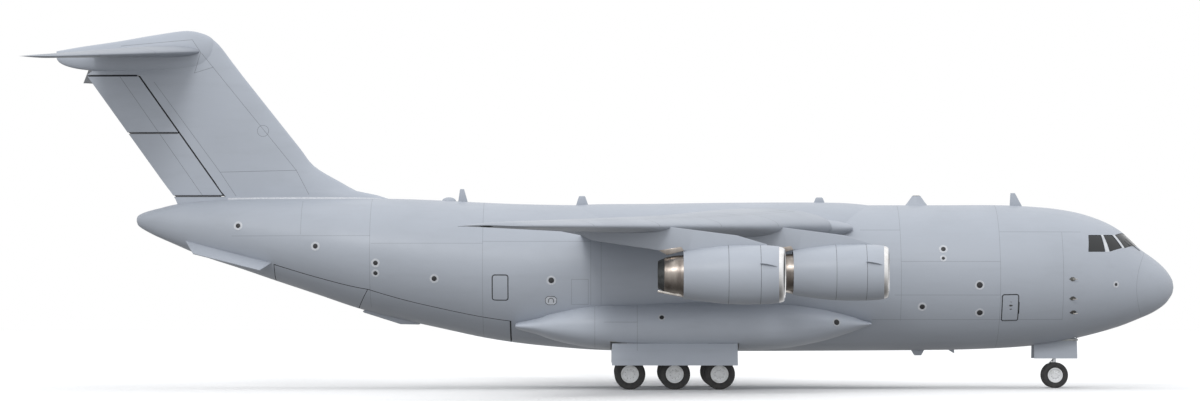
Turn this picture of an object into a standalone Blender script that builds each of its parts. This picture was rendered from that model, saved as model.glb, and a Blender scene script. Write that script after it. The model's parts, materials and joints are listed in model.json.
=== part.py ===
# Military transport plane: a half-size model of a four-jet, high-wing, T-tailed freighter on its wheels.
# Metres. +X runs to the nose, +Y to the port side, +Z up. The origin is on the ground, under the middle.

import math

import bmesh
import bpy
from mathutils import Matrix, Vector

# Gaps and walls
SAME_POINT = 0.000001    # corners nearer than this are one corner
SEAT = 0.0003            # between pieces that rest on each other
SHELL_WALL = 0.06        # fuselage skin with its frames
DOOR_GAP = 0.012         # round a door that swings
BARREL = 0.010           # radius of a door's hinge barrel
HINGE_DEPTH = 0.003      # barrel's middle below the skin
NOSE_GAP = 0.008         # round the nose of a rudder, elevator or aileron
NOSE_SINK = 0.001        # of that nose below the skin
END_GAP = 0.016          # at the ends of an elevator or aileron
RUDDER_END_GAP = 0.028   # at the ends of the rudders, whose hinge line leans far back
NOSE_FACETS = 8          # of the half round nose
NOSE_STEPS = 4           # of the nose along its hinge line

# Fuselage stations: x, crown z, belly z, half width, z of the widest level
FUSELAGE_SIDES = 28
FUSELAGE = (
    (11.750, 2.135, 2.085, 0.025, 2.11),
    (11.680, 2.345, 1.895, 0.19, 2.12),
    (11.584, 2.477, 1.768, 0.32, 2.13),
    (11.270, 2.751, 1.556, 0.58, 2.16),
    (11.045, 2.910, 1.460, 0.71, 2.18),
    (10.840, 3.105, 1.375, 0.83, 2.20),
    (10.640, 3.284, 1.298, 0.93, 2.22),
    (10.420, 3.420, 1.230, 1.03, 2.24),
    (10.220, 3.513, 1.170, 1.11, 2.25),
    (9.800, 3.653, 1.063, 1.25, 2.27),
    (9.380, 3.735, 0.969, 1.36, 2.28),
    (8.960, 3.783, 0.902, 1.44, 2.30),
    (8.124, 3.827, 0.835, 1.50, 2.31),
    (6.870, 3.827, 0.795, 1.516, 2.31),
    (0.990, 3.827, 0.770, 1.516, 2.31),
    (-0.260, 3.827, 0.795, 1.516, 2.32),
    (-1.100, 3.832, 0.853, 1.516, 2.34),
    (-1.940, 3.850, 0.939, 1.515, 2.38),
    (-2.697, 3.880, 1.056, 1.510, 2.45),
    (-3.620, 3.928, 1.256, 1.490, 2.57),
    (-4.460, 3.958, 1.441, 1.436, 2.69),
    (-5.300, 3.968, 1.659, 1.340, 2.81),
    (-6.140, 3.972, 1.942, 1.200, 2.95),
    (-6.980, 3.972, 2.221, 1.010, 3.09),
    (-7.810, 3.960, 2.505, 0.800, 3.24),
    (-8.650, 3.905, 2.783, 0.545, 3.37),
    (-9.160, 3.845, 3.000, 0.380, 3.43),
    (-9.490, 3.765, 3.143, 0.270, 3.47),
    (-9.800, 3.680, 3.300, 0.170, 3.50),
    (-9.973, 3.560, 3.470, 0.040, 3.515),
)
RADOME_SEAM = 11.045
FORWARD_SEAM = 7.985
REAR_SEAM = -2.697
TAIL_CAVITY_END = -8.65
NOSE_CAVITY_END = 11.584

# Windows of the flight deck on one side: corner points x, z on the skin, in order round each pane
POST_HALF = 0.035
WINDOWS = (
    ((9.863, 3.188), (10.140, 3.190), (10.203, 2.837), (9.836, 2.835)),
    ((10.204, 3.191), (10.408, 3.193), (10.580, 2.927), (10.320, 2.841)),
)
WINDSCREEN = ((10.447, 3.193), (10.651, 3.197), (10.956, 2.915), (10.636, 2.923))

# Wing: y, leading edge x, trailing edge x, leading edge z, trailing edge z, thickness over chord
WING_ROOT = 1.57
WING_TIP = 12.5
WING = (
    (WING_ROOT, 4.496, -0.663, 3.36, 3.18, 0.135),
    (4.97, 2.579, -1.040, 3.29, 3.20, 0.115),
    (WING_TIP, -1.564, -2.760, 3.162, 3.160, 0.100),
)
WING_CAMBER = 0.018
FLAP_CHORD = 0.76
FLAP_SPAN = (1.75, 8.40)
AILERON_HINGE = 0.76     # share of the chord
AILERON_SPAN = (8.50, 12.10)

# Hump over the wing centre: x, top z, half width
HUMP = (
    (5.75, 3.70, 0.70),
    (5.20, 3.845, 0.95),
    (4.60, 3.880, 1.20),
    (2.60, 3.880, 1.35),
    (0.80, 3.855, 1.30),
    (-0.60, 3.835, 1.00),
    (-1.20, 3.70, 0.70),
)

# Fin and rudders, side view: z, leading edge x, trailing edge x, thickness
FIN = (
    (3.60, -4.30, -9.02, 0.36),
    (3.985, -4.72, -9.18, 0.34),
    (4.083, -5.255, -9.25, 0.33),
    (4.320, -5.716, -9.43, 0.32),
    (4.653, -6.266, -9.67, 0.31),
    (6.557, -7.776, -11.040, 0.28),
)
RUDDER_SPLIT = 5.340
RUDDER_FOOT = 4.032
RUDDER_TOP = 6.530
RUDDER_HINGE = ((3.95, -8.11), (6.60, -9.99))
FIN_TOP_GAP = FIN[-1][0] + SEAT - RUDDER_TOP

# Tailplane: y, leading edge x, trailing edge x, z, thickness over chord
TAILPLANE = (
    (0.00, -8.560, -10.850, 7.060, 0.110),
    (4.90, -10.980, -11.730, 6.662, 0.100),
    (5.00, -11.150, -11.750, 6.655, 0.060),
)
ELEVATOR_HINGE = 0.68    # share of the chord
ELEVATOR_SPAN = (0.34, 4.80)
# Bullet on the fin's top: x, top z, bottom z, half width
BULLET = (
    (-8.35, 7.24, 6.95, 0.05),
    (-8.60, 7.42, 6.70, 0.17),
    (-8.92, 7.487, 6.62, 0.21),
    (-9.60, 7.400, 6.60, 0.21),
    (-10.40, 7.260, 6.62, 0.17),
    (-11.05, 7.150, 6.70, 0.12),
    (-11.50, 7.080, 6.82, 0.07),
    (-11.66, 7.045, 6.90, 0.03),
)
FIN_TIP = ((6.5573, -7.776, -11.040, 0.28), (7.20, -8.286, -9.60, 0.22), (7.34, -8.42, -9.10, 0.14))

# Strakes under the tail: root line and free edge in side view
STRAKE_ROOT = ((-8.93, 3.085), (-7.08, 2.611))
STRAKE_EDGE = ((-8.731, 2.800), (-7.312, 2.450))
STRAKE_REACH = 0.30
STRAKE_THICK = 0.03

# Sponsons: x, top z, bottom z, outer y
SPONSON = (
    (-2.011, 1.340, 1.275, 1.36),
    (-1.615, 1.455, 1.140, 1.56),
    (-1.230, 1.587, 1.010, 1.70),
    (-0.449, 1.747, 0.850, 1.87),
    (0.494, 1.776, 0.795, 1.96),
    (1.579, 1.827, 0.780, 1.98),
    (3.423, 1.797, 0.830, 1.94),
    (4.250, 1.696, 0.970, 1.81),
    (4.814, 1.556, 1.130, 1.65),
    (5.194, 1.420, 1.270, 1.50),
    (5.334, 1.365, 1.325, 1.43),
)
SPONSON_INNER = 0.80

# Landing gear
MAIN_ROWS = (0.35, 1.27, 2.19)
MAIN_Y = 1.45
MAIN_TYRE = (0.325, 0.11, 0.18)   # radius, half width, centre off the leg
NOSE_X = 9.25
NOSE_TYRE = (0.275, 0.085, 0.145)
WHEEL_SIDES = 16
AXLE_R = 0.030
BORE_PLAY = 0.0010
MAIN_WELL = ((-0.05, 2.59), (1.15, 1.75), (0.50, 1.24))
NOSE_WELL = ((8.78, 9.72), (-0.27, 0.27), (0.60, 1.20))
NOSE_PISTON_TOP = 0.62

# Engines: name, y, lip front x, axis z
ENGINE_SIDES = 24
ENGINES = (("inner", 3.40, 5.605, 2.395), ("outer", 7.60, 3.315, 2.323))
# Cowl outline: distance behind the lip, radius
COWL_OUTER = ((0.0, 0.475), (0.03, 0.510), (0.155, 0.540), (0.53, 0.565), (1.13, 0.560), (1.61, 0.511),
              (1.99, 0.452))
COWL_INNER = ((1.99, 0.425), (1.61, 0.460), (0.70, 0.460), (0.45, 0.440), (0.10, 0.430), (0.02, 0.448))
ENGINE_OUTER = ((0.80, 0.10), (0.801, 0.30), (0.90, 0.4597), (1.60, 0.4597), (1.98, 0.4247), (1.995, 0.376),
                (2.17, 0.360), (2.35, 0.322), (2.475, 0.258))
EXHAUST_INNER = ((2.475, 0.240), (2.20, 0.270))
ENGINE_BOSS = (0.7253, 0.10)      # front face behind the lip, radius
FAN_PLACE = (0.60, 0.7250)        # front and back of the blades behind the lip
FAN_BLADES = 12
FAN_TIP, FAN_HUB = 0.424, 0.14
SPINNER = ((0.605, 0.139), (0.52, 0.10), (0.455, 0.05), (0.43, 0.01))
# Pylon in side view: distance behind the lip, height over the engine's axis
PYLON = ((0.39, 0.50), (0.39, 0.577), (0.962, 0.747), (2.20, 0.905), (2.45, 0.945), (4.10, 0.935), (4.10, 0.84),
         (3.75, 0.66), (2.455, 0.462), (2.30, 0.384), (1.98, 0.454), (1.70, 0.45))
PYLON_HALF = 0.085

# Ramp and cargo door in the tail
RAMP_HINGE = (-2.12, 0.982)
RAMP_BARREL = 0.020
RAMP_HALF = 1.10
SPLIT_FOOT = (-5.30, 1.664)       # where the joint between ramp and cargo door crosses the belly
SPLIT_LEAN = 30                   # degrees that this joint leans forward
CARGO_DOOR_END = -7.04
CARGO_DOOR_HALF = 0.80
CARGO_DOOR_HINGE = (-7.02, 2.650)
CARGO_FLOOR = 1.25
RAMP_TAIL_FLOOR = 1.86            # z of the ramp's floor at its aft end, shut
SKID = ((-5.24, 1.60), (-5.20, 1.575), (-4.90, 1.48), (-4.437, 1.334), (-4.04, 1.326), (-3.99, 1.40),
        (-4.40, 1.52), (-5.10, 1.70))

# Side doors: name, side, middle x, middle z, half length, half height
SIDE_DOORS = (
    ("forward_hatch", -1, 8.195, 1.669, 0.170, 0.300),
    ("rear_hatch_right", -1, -2.322, 2.090, 0.163, 0.267),
    ("rear_hatch_left", 1, -2.322, 2.090, 0.163, 0.267),
)
CREW_DOOR = (8.50, 1.845, 0.300, 0.500)

COLOURS = {
    "paint": ((0.34, 0.37, 0.42), 0.45, 0.0),
    "metal": ((0.30, 0.27, 0.25), 0.35, 0.9),
    "glass": ((0.03, 0.035, 0.04), 0.1, 0.0),
    "rubber": ((0.03, 0.03, 0.03), 0.8, 0.0),
    "dark": ((0.12, 0.12, 0.13), 0.6, 0.0),
    "gear": ((0.75, 0.76, 0.78), 0.4, 0.0),
}


def clear_scene():
    for thing in list(bpy.data.objects):
        bpy.data.objects.remove(thing)


def dress(thing, look, smooth_angle=35):
    colour, rough, metallic = COLOURS[look]
    material = bpy.data.materials.new(thing.name + "_finish")
    material.use_nodes = True
    shader = material.node_tree.nodes["Principled BSDF"]
    shader.inputs["Base Color"].default_value = (*colour, 1.0)
    shader.inputs["Roughness"].default_value = rough
    shader.inputs["Metallic"].default_value = metallic
    thing.data.materials.clear()
    thing.data.materials.append(material)
    thing.data.shade_smooth()
    thing.data.set_sharp_from_angle(angle=math.radians(smooth_angle))
    return thing


def add_body(name, bm):
    bmesh.ops.recalc_face_normals(bm, faces=bm.faces)
    if bm.calc_volume(signed=True) < 0:
        bmesh.ops.reverse_faces(bm, faces=bm.faces)
    mesh = bpy.data.meshes.new(name)
    bm.to_mesh(mesh)
    bm.free()
    thing = bpy.data.objects.new(name, mesh)
    bpy.context.collection.objects.link(thing)
    return thing


def loft(name, rings, joined=False):
    """Skin over a row of rings with equal counts; the last joins the first where joined, else both are capped.

    Every four-cornered patch is split the same way, from its forward ring, so nested skins stay parallel,
    and the other way round on the starboard side, so both sides match.
    """
    bm = bmesh.new()
    rows = [[bm.verts.new(point) for point in ring] for ring in rings]
    pairs = list(zip(rows, rows[1:]))
    if joined:
        pairs.append((rows[-1], rows[0]))
    else:
        bm.faces.new(rows[0])
        bm.faces.new(rows[-1])
    count = len(rows[0])
    for first, second in pairs:
        if second[0].co.x > first[0].co.x:
            first, second = second, first
        for i in range(count):
            j = (i + 1) % count
            corners = [first[i], first[j], second[j], second[i]]
            if first[i].co.y + first[j].co.y + second[i].co.y + second[j].co.y < 0:
                corners = corners[1:] + corners[:1]
            bm.faces.new(corners[:3])
            bm.faces.new((corners[0], corners[2], corners[3]))
    return add_body(name, bm)


def prism(name, outline, axis, low, high):
    """An outline in the two other axes, in X, Y, Z order, pushed from low to high along axis."""
    def point(a, b, c):
        return {"x": (c, a, b), "y": (a, c, b), "z": (a, b, c)}[axis]
    return loft(name, [[point(a, b, c) for a, b in outline] for c in (low, high)])


def block(name, x, y, z):
    return prism(name, ((x[0], y[0]), (x[1], y[0]), (x[1], y[1]), (x[0], y[1])), "z", z[0], z[1])


def combine(body, tool, operation):
    cut = body.modifiers.new("cut", "BOOLEAN")
    cut.solver = "EXACT"
    cut.operation = operation
    cut.object = tool
    bpy.context.view_layer.update()
    solid = bpy.data.meshes.new_from_object(body.evaluated_get(bpy.context.evaluated_depsgraph_get()))
    body.modifiers.clear()
    bm = bmesh.new()
    bm.from_mesh(solid)
    bmesh.ops.remove_doubles(bm, verts=bm.verts, dist=SAME_POINT)
    bmesh.ops.dissolve_degenerate(bm, edges=bm.edges, dist=SAME_POINT)
    bm.to_mesh(solid)
    bm.free()
    body.data = solid
    bpy.data.objects.remove(tool)
    return body


def cut(body, tool):
    return combine(body, tool, "DIFFERENCE")


def keep(body, tool):
    return combine(body, tool, "INTERSECT")


def add(body, tool):
    return combine(body, tool, "UNION")


def twin(thing, name):
    copy = thing.copy()
    copy.data = thing.data.copy()
    copy.name = name
    bpy.context.collection.objects.link(copy)
    return copy


def mirrored(thing, name):
    """The port copy of a starboard piece."""
    copy = twin(thing, name)
    copy.data.transform(Matrix.Diagonal((1, -1, 1, 1)))
    copy.data.flip_normals()
    return copy


def set_pivot(thing, pivot):
    """Move a piece's own origin on to its joint's axis and leave its shape where it is."""
    thing.data.transform(Matrix.Translation(-Vector(pivot)))
    thing.location = pivot
    return thing


def rod(name, start, end, radius, sides=16):
    start, end = Vector(start), Vector(end)
    along = (end - start).normalized()
    side = along.orthogonal().normalized()
    up = along.cross(side)
    turns = [2 * math.pi * (i + 0.5) / sides for i in range(sides)]
    return loft(name, [
        [place + radius * (math.cos(t) * side + math.sin(t) * up) for t in turns] for place in (start, end)
    ])


def read_table(table, key, column):
    """Straight-line value from a table whose first column rises or falls."""
    rows = sorted(table)
    for low, high in zip(rows, rows[1:]):
        if key <= high[0]:
            break
    share = (key - low[0]) / (high[0] - low[0])
    return low[column] + share * (high[column] - low[column])


# Fuselage

def fuselage_ring(x, inset=0.0):
    crown, belly, half, level = (read_table(FUSELAGE, x, c) for c in (1, 2, 3, 4))
    ring = []
    for i in range(FUSELAGE_SIDES):
        turn = 2 * math.pi * i / FUSELAGE_SIDES
        rise = (crown - level if math.sin(turn) >= 0 else level - belly) - inset
        ring.append((x, (half - inset) * math.cos(turn), level + rise * math.sin(turn)))
    return ring


def fuselage_stations(front, back):
    inside = [row[0] for row in FUSELAGE if back + 0.05 < row[0] < front - 0.05]
    return [front, *inside, back]


def fuselage_solid(name, inset=0.0, front=FUSELAGE[0][0], back=FUSELAGE[-1][0]):
    return loft(name, [fuselage_ring(x, inset) for x in fuselage_stations(front, back)])


def skin_point(x, z, side):
    """A point on the outer skin at a given x and z; side is 1 to port and -1 to starboard."""
    crown, belly, half, level = (read_table(FUSELAGE, x, c) for c in (1, 2, 3, 4))
    rise = crown - level if z >= level else level - belly
    share = max(0.0, 1 - ((z - level) / rise) ** 2)
    return Vector((x, side * half * math.sqrt(share), z))


def skin_normal(x, z, side):
    point = skin_point(x, z, side)
    level = read_table(FUSELAGE, x, 4)
    half = read_table(FUSELAGE, x, 3)
    rise = read_table(FUSELAGE, x, 1) - level if z >= level else level - read_table(FUSELAGE, x, 2)
    return Vector((0, point.y / half ** 2, (z - level) / rise ** 2)).normalized()


def skin_corner(x, z, side):
    """The corner of the skin's outline nearest to a height, with the skin's upward and outward directions there."""
    crown, belly, half, level = (read_table(FUSELAGE, x, c) for c in (1, 2, 3, 4))
    step = 2 * math.pi / FUSELAGE_SIDES
    rise = crown - level if z >= level else level - belly
    turn = round(math.asin((z - level) / rise) / step) * step
    up = Vector((0, -side * half * math.sin(turn), rise * math.cos(turn))).normalized()
    outward = Vector((0, side * up.z, -side * up.y))
    return Vector((x, side * half * math.cos(turn), level + rise * math.sin(turn))), up, outward


def skin_on_plane(x, foot, up, side):
    """The point of the skin at x that lies level with a door's foot."""
    z = foot.z
    for _ in range(30):
        point = skin_point(x, z, side)
        z -= 0.7 * (point - foot).dot(up)
    return point


def window_cutter(corners, side, name):
    """A prism through the wall, square to the pane whose corners lie on the skin."""
    middle = sum(corners, Vector()) / len(corners)
    normal = (corners[2] - corners[0]).cross(corners[3] - corners[1]).normalized()
    if normal.dot(middle - Vector((middle.x - 0.6, 0, 2.4))) < 0:
        normal = -normal
    return loft(name, [[c + normal * reach for c in corners] for reach in (-0.22, 0.16)])


def window_cutters():
    cutters = []
    for side in (-1, 1):
        for pane in WINDOWS:
            cutters.append(window_cutter([skin_point(x, z, side) for x, z in pane], side, "window"))
        outer_top, inner_top, inner_foot, outer_foot = WINDSCREEN
        corners = [skin_point(*outer_top, side), Vector((inner_top[0], side * POST_HALF, inner_top[1])),
                   Vector((inner_foot[0], side * POST_HALF, inner_foot[1])), skin_point(*outer_foot, side)]
        cutters.append(window_cutter(corners, side, "windscreen"))
    return cutters


def tail_opening(grow):
    """The room that the ramp and the cargo door fill, up into the hollow tail."""
    hinge_x = RAMP_HINGE[0] + RAMP_BARREL + SEAT
    rows = (
        (hinge_x if grow > 0 else RAMP_HINGE[0] - 0.010, RAMP_HALF, 0.5, 2.20),
        (SPLIT_FOOT[0] + 0.25, RAMP_HALF, 0.7, 2.55),
        (CARGO_DOOR_END if grow > 0 else CARGO_DOOR_END + DOOR_GAP, CARGO_DOOR_HALF, 1.0, 2.95),
    )
    slim = 0 if grow > 0 else -DOOR_GAP
    return loft("tail_opening", [
        [(x, -half - slim, low), (x, half + slim, low), (x, half + slim, high), (x, -half - slim, high)]
        for x, half, low, high in rows
    ])


def split_region(name, side):
    """Side-view region before the leaning joint between ramp and cargo door (side 1) or behind it (side -1)."""
    lean = math.tan(math.radians(SPLIT_LEAN))
    shift = side * DOOR_GAP / 2 / math.cos(math.radians(SPLIT_LEAN))
    low, high = 0.3, 3.2
    def at(z):
        return SPLIT_FOOT[0] + (z - SPLIT_FOOT[1]) * lean + shift
    far = 0.0 if side > 0 else -9.0
    return prism(name, ((far, low), (far, high), (at(high), high), (at(low), low)), "y", -2, 2)


def door_frame_axes(x, z, side):
    """Middle of a side door on the skin, with its directions: forward, up along the skin, outward."""
    middle = skin_point(x, z, side)
    outward = skin_normal(x, z, side)
    forward = Vector((1, 0, 0))
    up = outward.cross(forward)
    if up.z < 0:
        up = -up
    return middle, forward, up, outward


def door_prism(name, x, z, side, half_long, half_high):
    middle, forward, up, outward = door_frame_axes(x, z, side)
    corners = [(-half_long, -half_high), (half_long, -half_high), (half_long, half_high), (-half_long, half_high)]
    return loft(name, [
        [middle + forward * a + up * b + outward * reach for a, b in corners] for reach in (-0.45, 0.15)
    ])


def make_fuselage():
    def shell(name, front, back):
        stations = fuselage_stations(front - SEAT / 2, back + SEAT / 2)
        outer = [fuselage_ring(x) for x in stations]
        inner = [fuselage_ring(x, SHELL_WALL) for x in reversed(stations)]
        return loft(name, outer + inner, joined=True)

    forward = shell("forward_fuselage", RADOME_SEAM, FORWARD_SEAM)
    centre = shell("centre_fuselage", FORWARD_SEAM, REAR_SEAM)
    stations = fuselage_stations(REAR_SEAM - SEAT / 2, FUSELAGE[-1][0])
    inside = fuselage_stations(REAR_SEAM - SEAT / 2, TAIL_CAVITY_END)
    rear = loft("rear_fuselage",
                [fuselage_ring(x) for x in reversed(stations)] + [fuselage_ring(x, SHELL_WALL) for x in inside])
    nose = fuselage_stations(FUSELAGE[0][0], RADOME_SEAM + SEAT / 2)
    nose_inside = fuselage_stations(NOSE_CAVITY_END, RADOME_SEAM + SEAT / 2)
    radome = loft("radome",
                  [fuselage_ring(x) for x in nose] + [fuselage_ring(x, SHELL_WALL) for x in reversed(nose_inside)])

    doors = []
    for name, side, x, z, half_long, half_high in SIDE_DOORS:
        owner = forward if x > FORWARD_SEAM else centre
        door = keep(twin(owner, name), door_prism("door", x, z, side, half_long, half_high))
        opening = door_prism("opening", x, z, side, half_long + BARREL + SEAT, half_high + DOOR_GAP)
        cut(owner, opening)
        corner, up, outward = skin_corner(x + half_long, z, side)
        pivot = corner - outward * HINGE_DEPTH
        add(door, rod("barrel", pivot - up * 0.06, pivot + up * 0.06, BARREL))
        doors.append(dress(set_pivot(door, pivot), "paint"))
        print(name, "pivot", [round(c, 4) for c in pivot], "axis", [round(c, 4) for c in up])

    x, z, half_long, half_high = CREW_DOOR
    middle, _, up, outward = door_frame_axes(x, z, 1)
    crew = keep(twin(forward, "crew_door"), door_prism("door", x, z, 1, half_long, half_high))
    cut(forward, door_prism("opening", x, z, 1, half_long + DOOR_GAP, half_high + BARREL + SEAT))
    # the hinge lies where the door's foot meets the outer skin, which narrows towards the nose
    foot = middle - up * half_high
    back, front = (skin_on_plane(x + way * half_long, foot, up, 1) for way in (-1, 1))
    along = (front - back).normalized()
    pivot = (back + front) / 2 - outward * HINGE_DEPTH
    add(crew, rod("barrel", pivot - along * 0.20, pivot + along * 0.20, BARREL))
    doors.append(dress(set_pivot(crew, pivot), "paint"))
    print("crew_door pivot", [round(c, 4) for c in pivot], "axis", [round(-c, 5) for c in along])

    for cutter in window_cutters():
        cut(forward, cutter)
    cut(forward, block("well", *NOSE_WELL))
    cut(centre, tail_opening(1))
    cut(rear, tail_opening(1))
    for side in (-1, 1):
        add(rear, strake(side))
    for shell_part in (forward, centre, rear, radome):
        dress(shell_part, "paint")
    return forward


def strake(side):
    """A thin plate whose root is sunk in the tail's wall."""
    def out(x, z, reach):
        point = skin_point(x, z, side)
        return Vector((x, point.y + side * reach, z))
    (x0, z0), (x1, z1) = STRAKE_ROOT
    (x2, z2), (x3, z3) = STRAKE_EDGE
    corners = [out(x0, z0, -0.03), out(x1, z1, -0.03), out(x3, z3, 0), out(x2, z2, 0)]
    corners[2].y = corners[1].y + side * STRAKE_REACH
    corners[3].y = corners[0].y + side * STRAKE_REACH
    normal = (corners[1] - corners[0]).cross(corners[3] - corners[0]).normalized()
    return loft("strake", [[c + normal * reach for c in corners] for reach in (-STRAKE_THICK / 2, STRAKE_THICK / 2)])


def make_glazing():
    """One curved pane band behind the window openings."""
    xs = [row[0] for row in reversed(FUSELAGE) if 9.3 < row[0] <= RADOME_SEAM]
    outer = [fuselage_ring(x, SHELL_WALL + SEAT) for x in xs]
    inner = [fuselage_ring(x, SHELL_WALL + 0.02) for x in reversed(xs)]
    glazing = loft("cockpit_glazing", outer + inner, joined=True)
    return dress(keep(glazing, block("band", (9.75, 11.1), (-1.5, 1.5), (2.78, 3.9))), "glass")


def make_interior():
    floor = block("cockpit_interior", (8.95, 10.80), (-1.4, 1.4), (2.30, 2.35))
    keep(floor, fuselage_solid("inside", SHELL_WALL + SEAT, RADOME_SEAM, FORWARD_SEAM))
    for y in (-0.36, 0.36):
        add(floor, block("seat", (9.68, 9.98), (y - 0.14, y + 0.14), (2.34, 2.56)))
        add(floor, block("seat_back", (9.63, 9.71), (y - 0.14, y + 0.14), (2.40, 2.86)))
    add(floor, block("console", (10.20, 10.50), (-0.10, 0.10), (2.34, 2.55)))
    add(floor, block("panel", (10.45, 10.60), (-0.62, 0.62), (2.34, 2.74)))
    dress(floor, "dark")

    deck = block("cargo_floor", (RAMP_HINGE[0] + RAMP_BARREL + SEAT + 0.01, 8.0), (-1.4, 1.4),
                 (CARGO_FLOOR - 0.06, CARGO_FLOOR))
    keep(deck, fuselage_solid("inside", SHELL_WALL + SEAT, 8.96, -3.62))
    dress(deck, "dark", 20)


def make_tail_doors():
    hinge_x, hinge_z = RAMP_HINGE
    ramp = fuselage_solid("ramp", 0.0, -0.26, -7.81)
    keep(ramp, tail_opening(-1))
    keep(ramp, split_region("before", 1))
    hollow = fuselage_solid("hollow", SHELL_WALL, 0.99, -8.65)
    floor_line = ((0.0, CARGO_FLOOR + 0.01), (hinge_x, CARGO_FLOOR + 0.01), (-5.0, RAMP_TAIL_FLOOR), (-8, 2.2),
                  (-8, 4.2), (0.0, 4.2))
    keep(hollow, prism("above", floor_line, "y", -2, 2))
    cut(ramp, hollow)
    add(ramp, rod("barrel", (hinge_x, -0.25, hinge_z), (hinge_x, 0.25, hinge_z), RAMP_BARREL))
    add(ramp, prism("skid", SKID, "y", -0.10, 0.10))
    dress(set_pivot(ramp, (hinge_x, 0, hinge_z)), "paint")

    door = fuselage_solid("cargo_door", 0.0, -1.94, -7.81)
    cut(door, fuselage_solid("hollow", SHELL_WALL, -1.10, -8.65))
    keep(door, tail_opening(-1))
    keep(door, split_region("behind", -1))
    door_x, door_z = CARGO_DOOR_HINGE
    for side in (-1, 1):
        pin_end = CARGO_DOOR_HALF + 0.0018
        add(door, rod("pin", (door_x, side * (CARGO_DOOR_HALF - 0.08), door_z),
                      (door_x, side * pin_end, door_z), 0.008))
    dress(set_pivot(door, (door_x, 0, door_z)), "paint")


# Wings

def aerofoil(chord, thickness, camber=0.0):
    """Outline from the trailing edge over the top to the leading edge and back below: x behind the nose, height."""
    shares = (0.0, 0.0125, 0.05, 0.12, 0.25, 0.40, 0.55, 0.72, 0.88, 1.0)
    def half(s):
        return 5 * thickness * (0.2969 * math.sqrt(s) - 0.126 * s - 0.3516 * s**2 + 0.2843 * s**3 - 0.1015 * s**4)
    def middle(s):
        return 4 * camber * s * (1 - s)
    over = [(s * chord, (middle(s) + half(s)) * chord) for s in reversed(shares)]
    under = [(s * chord, (middle(s) - half(s)) * chord) for s in shares[1:]]
    return over + under


def wing_ring(y, front, back, z_front, z_back, thickness, grow=0.0):
    ring = []
    chord = front - back
    for along, height in aerofoil(chord, thickness, WING_CAMBER):
        share = along / chord
        lift = grow if height >= 0 else -grow
        ring.append((front - along, y, z_front + (z_back - z_front) * share + height + lift))
    ring[9] = (ring[9][0] + grow, ring[9][1], z_front)
    return ring


def wing_solid(name, grow=0.0):
    """The starboard wing, out to its tip."""
    return loft(name, [wing_ring(-y, f, b, zf, zb, t, grow) for y, f, b, zf, zb, t in WING])


def chord_x(y, share):
    front, back = read_table(WING, y, 1), read_table(WING, y, 2)
    return front + (back - front) * share


def flap_plan(share, span, grow):
    """Plan outline of a flap on the starboard wing, larger by grow."""
    low, high = span[0] - grow, span[1] + grow
    stops = [low] + [row[0] for row in WING if low < row[0] < high] + [high]
    front = [(chord_x(y, share) + grow, -y) for y in stops]
    return front + [(chord_x(high, 1.0) - 0.5, -high), (chord_x(low, 1.0) - 0.5, -low)]


def make_wings():
    wing = wing_solid("wing_right")
    flap = keep(twin(wing, "flap_right"), prism("plan", flap_plan(FLAP_CHORD, FLAP_SPAN, 0), "z", 2, 5))
    cut(wing, prism("plan", flap_plan(FLAP_CHORD, FLAP_SPAN, SEAT), "z", 2, 5))
    stations = [(row[0], wing_ring(-row[0], *row[1:])) for row in WING]
    ends, radii = hinge_line(stations, AILERON_SPAN, lambda y: chord_x(y, AILERON_HINGE), 1)
    aileron = take_panel("aileron_right", wing, ends, radii, 1)
    open_room(wing, ends, radii, (END_GAP, END_GAP), 1)
    add_pins(aileron, ends, (END_GAP, END_GAP), Vector((0, 1, 0)), 0.010)
    print("aileron_right hinge", [tuple(round(c, 4) for c in e) for e in ends])
    for piece, name in ((wing, "wing_left"), (flap, "flap_left"), (aileron, "aileron_left")):
        copy = mirrored(piece, name)
        if piece is aileron:
            set_pivot(copy, (ends[0].x, -ends[0].y, ends[0].z))
        dress(copy, "paint")
    set_pivot(aileron, ends[0])
    for piece in (wing, flap, aileron):
        dress(piece, "paint")

    root = WING[0]
    outline = [(x, z) for x, _, z in wing_ring(*root)]
    fairing = prism("wing_fairing", outline, "y", -WING_ROOT + SEAT, WING_ROOT - SEAT)
    rings = []
    for x, top, half in HUMP:
        rings.append([(x, half * math.cos(math.pi * i / 12), 3.0 + (top - 3.0) * math.sin(math.pi * i / 12))
                      for i in range(13)])
    add(fairing, loft("hump", rings))
    cut(fairing, fuselage_solid("skin", -SEAT))
    dress(fairing, "paint")


def skins_at(stations, place, x, rise):
    """Where the outline at a place along the span crosses x: the highest and the lowest point."""
    for (low, first), (high, second) in zip(stations, stations[1:]):
        if place <= high:
            break
    share = (place - low) / (high - low)
    ring = [Vector(p).lerp(Vector(q), share) for p, q in zip(first, second)]
    crossings = []
    for p, q in zip(ring, ring[1:] + ring[:1]):
        if min(p.x, q.x) <= x <= max(p.x, q.x) and p.x != q.x:
            crossings.append(p.lerp(q, (x - p.x) / (q.x - p.x)))
    crossings.sort(key=lambda point: point[rise])
    return crossings[-1], crossings[0]


def hinge_line(stations, span, hinge_x, across):
    """Both ends of a hinge line midway between the skins, and the skins' distance from it at even steps.

    Stations are (place along the span, outline); across is 1 where the span runs along Y and 2 where along Z.
    """
    rise = 3 - across
    ends = []
    for place in span:
        over, under = skins_at(stations, place, hinge_x(place), rise)
        ends.append((over + under) / 2)
    radii = []
    for step in range(NOSE_STEPS + 1):
        share = step / NOSE_STEPS
        point = ends[0].lerp(ends[1], share)
        over, under = skins_at(stations, span[0] + (span[1] - span[0]) * share, point.x, rise)
        radii.append(max(over[rise] - point[rise], point[rise] - under[rise]))
    return ends, radii


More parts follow.
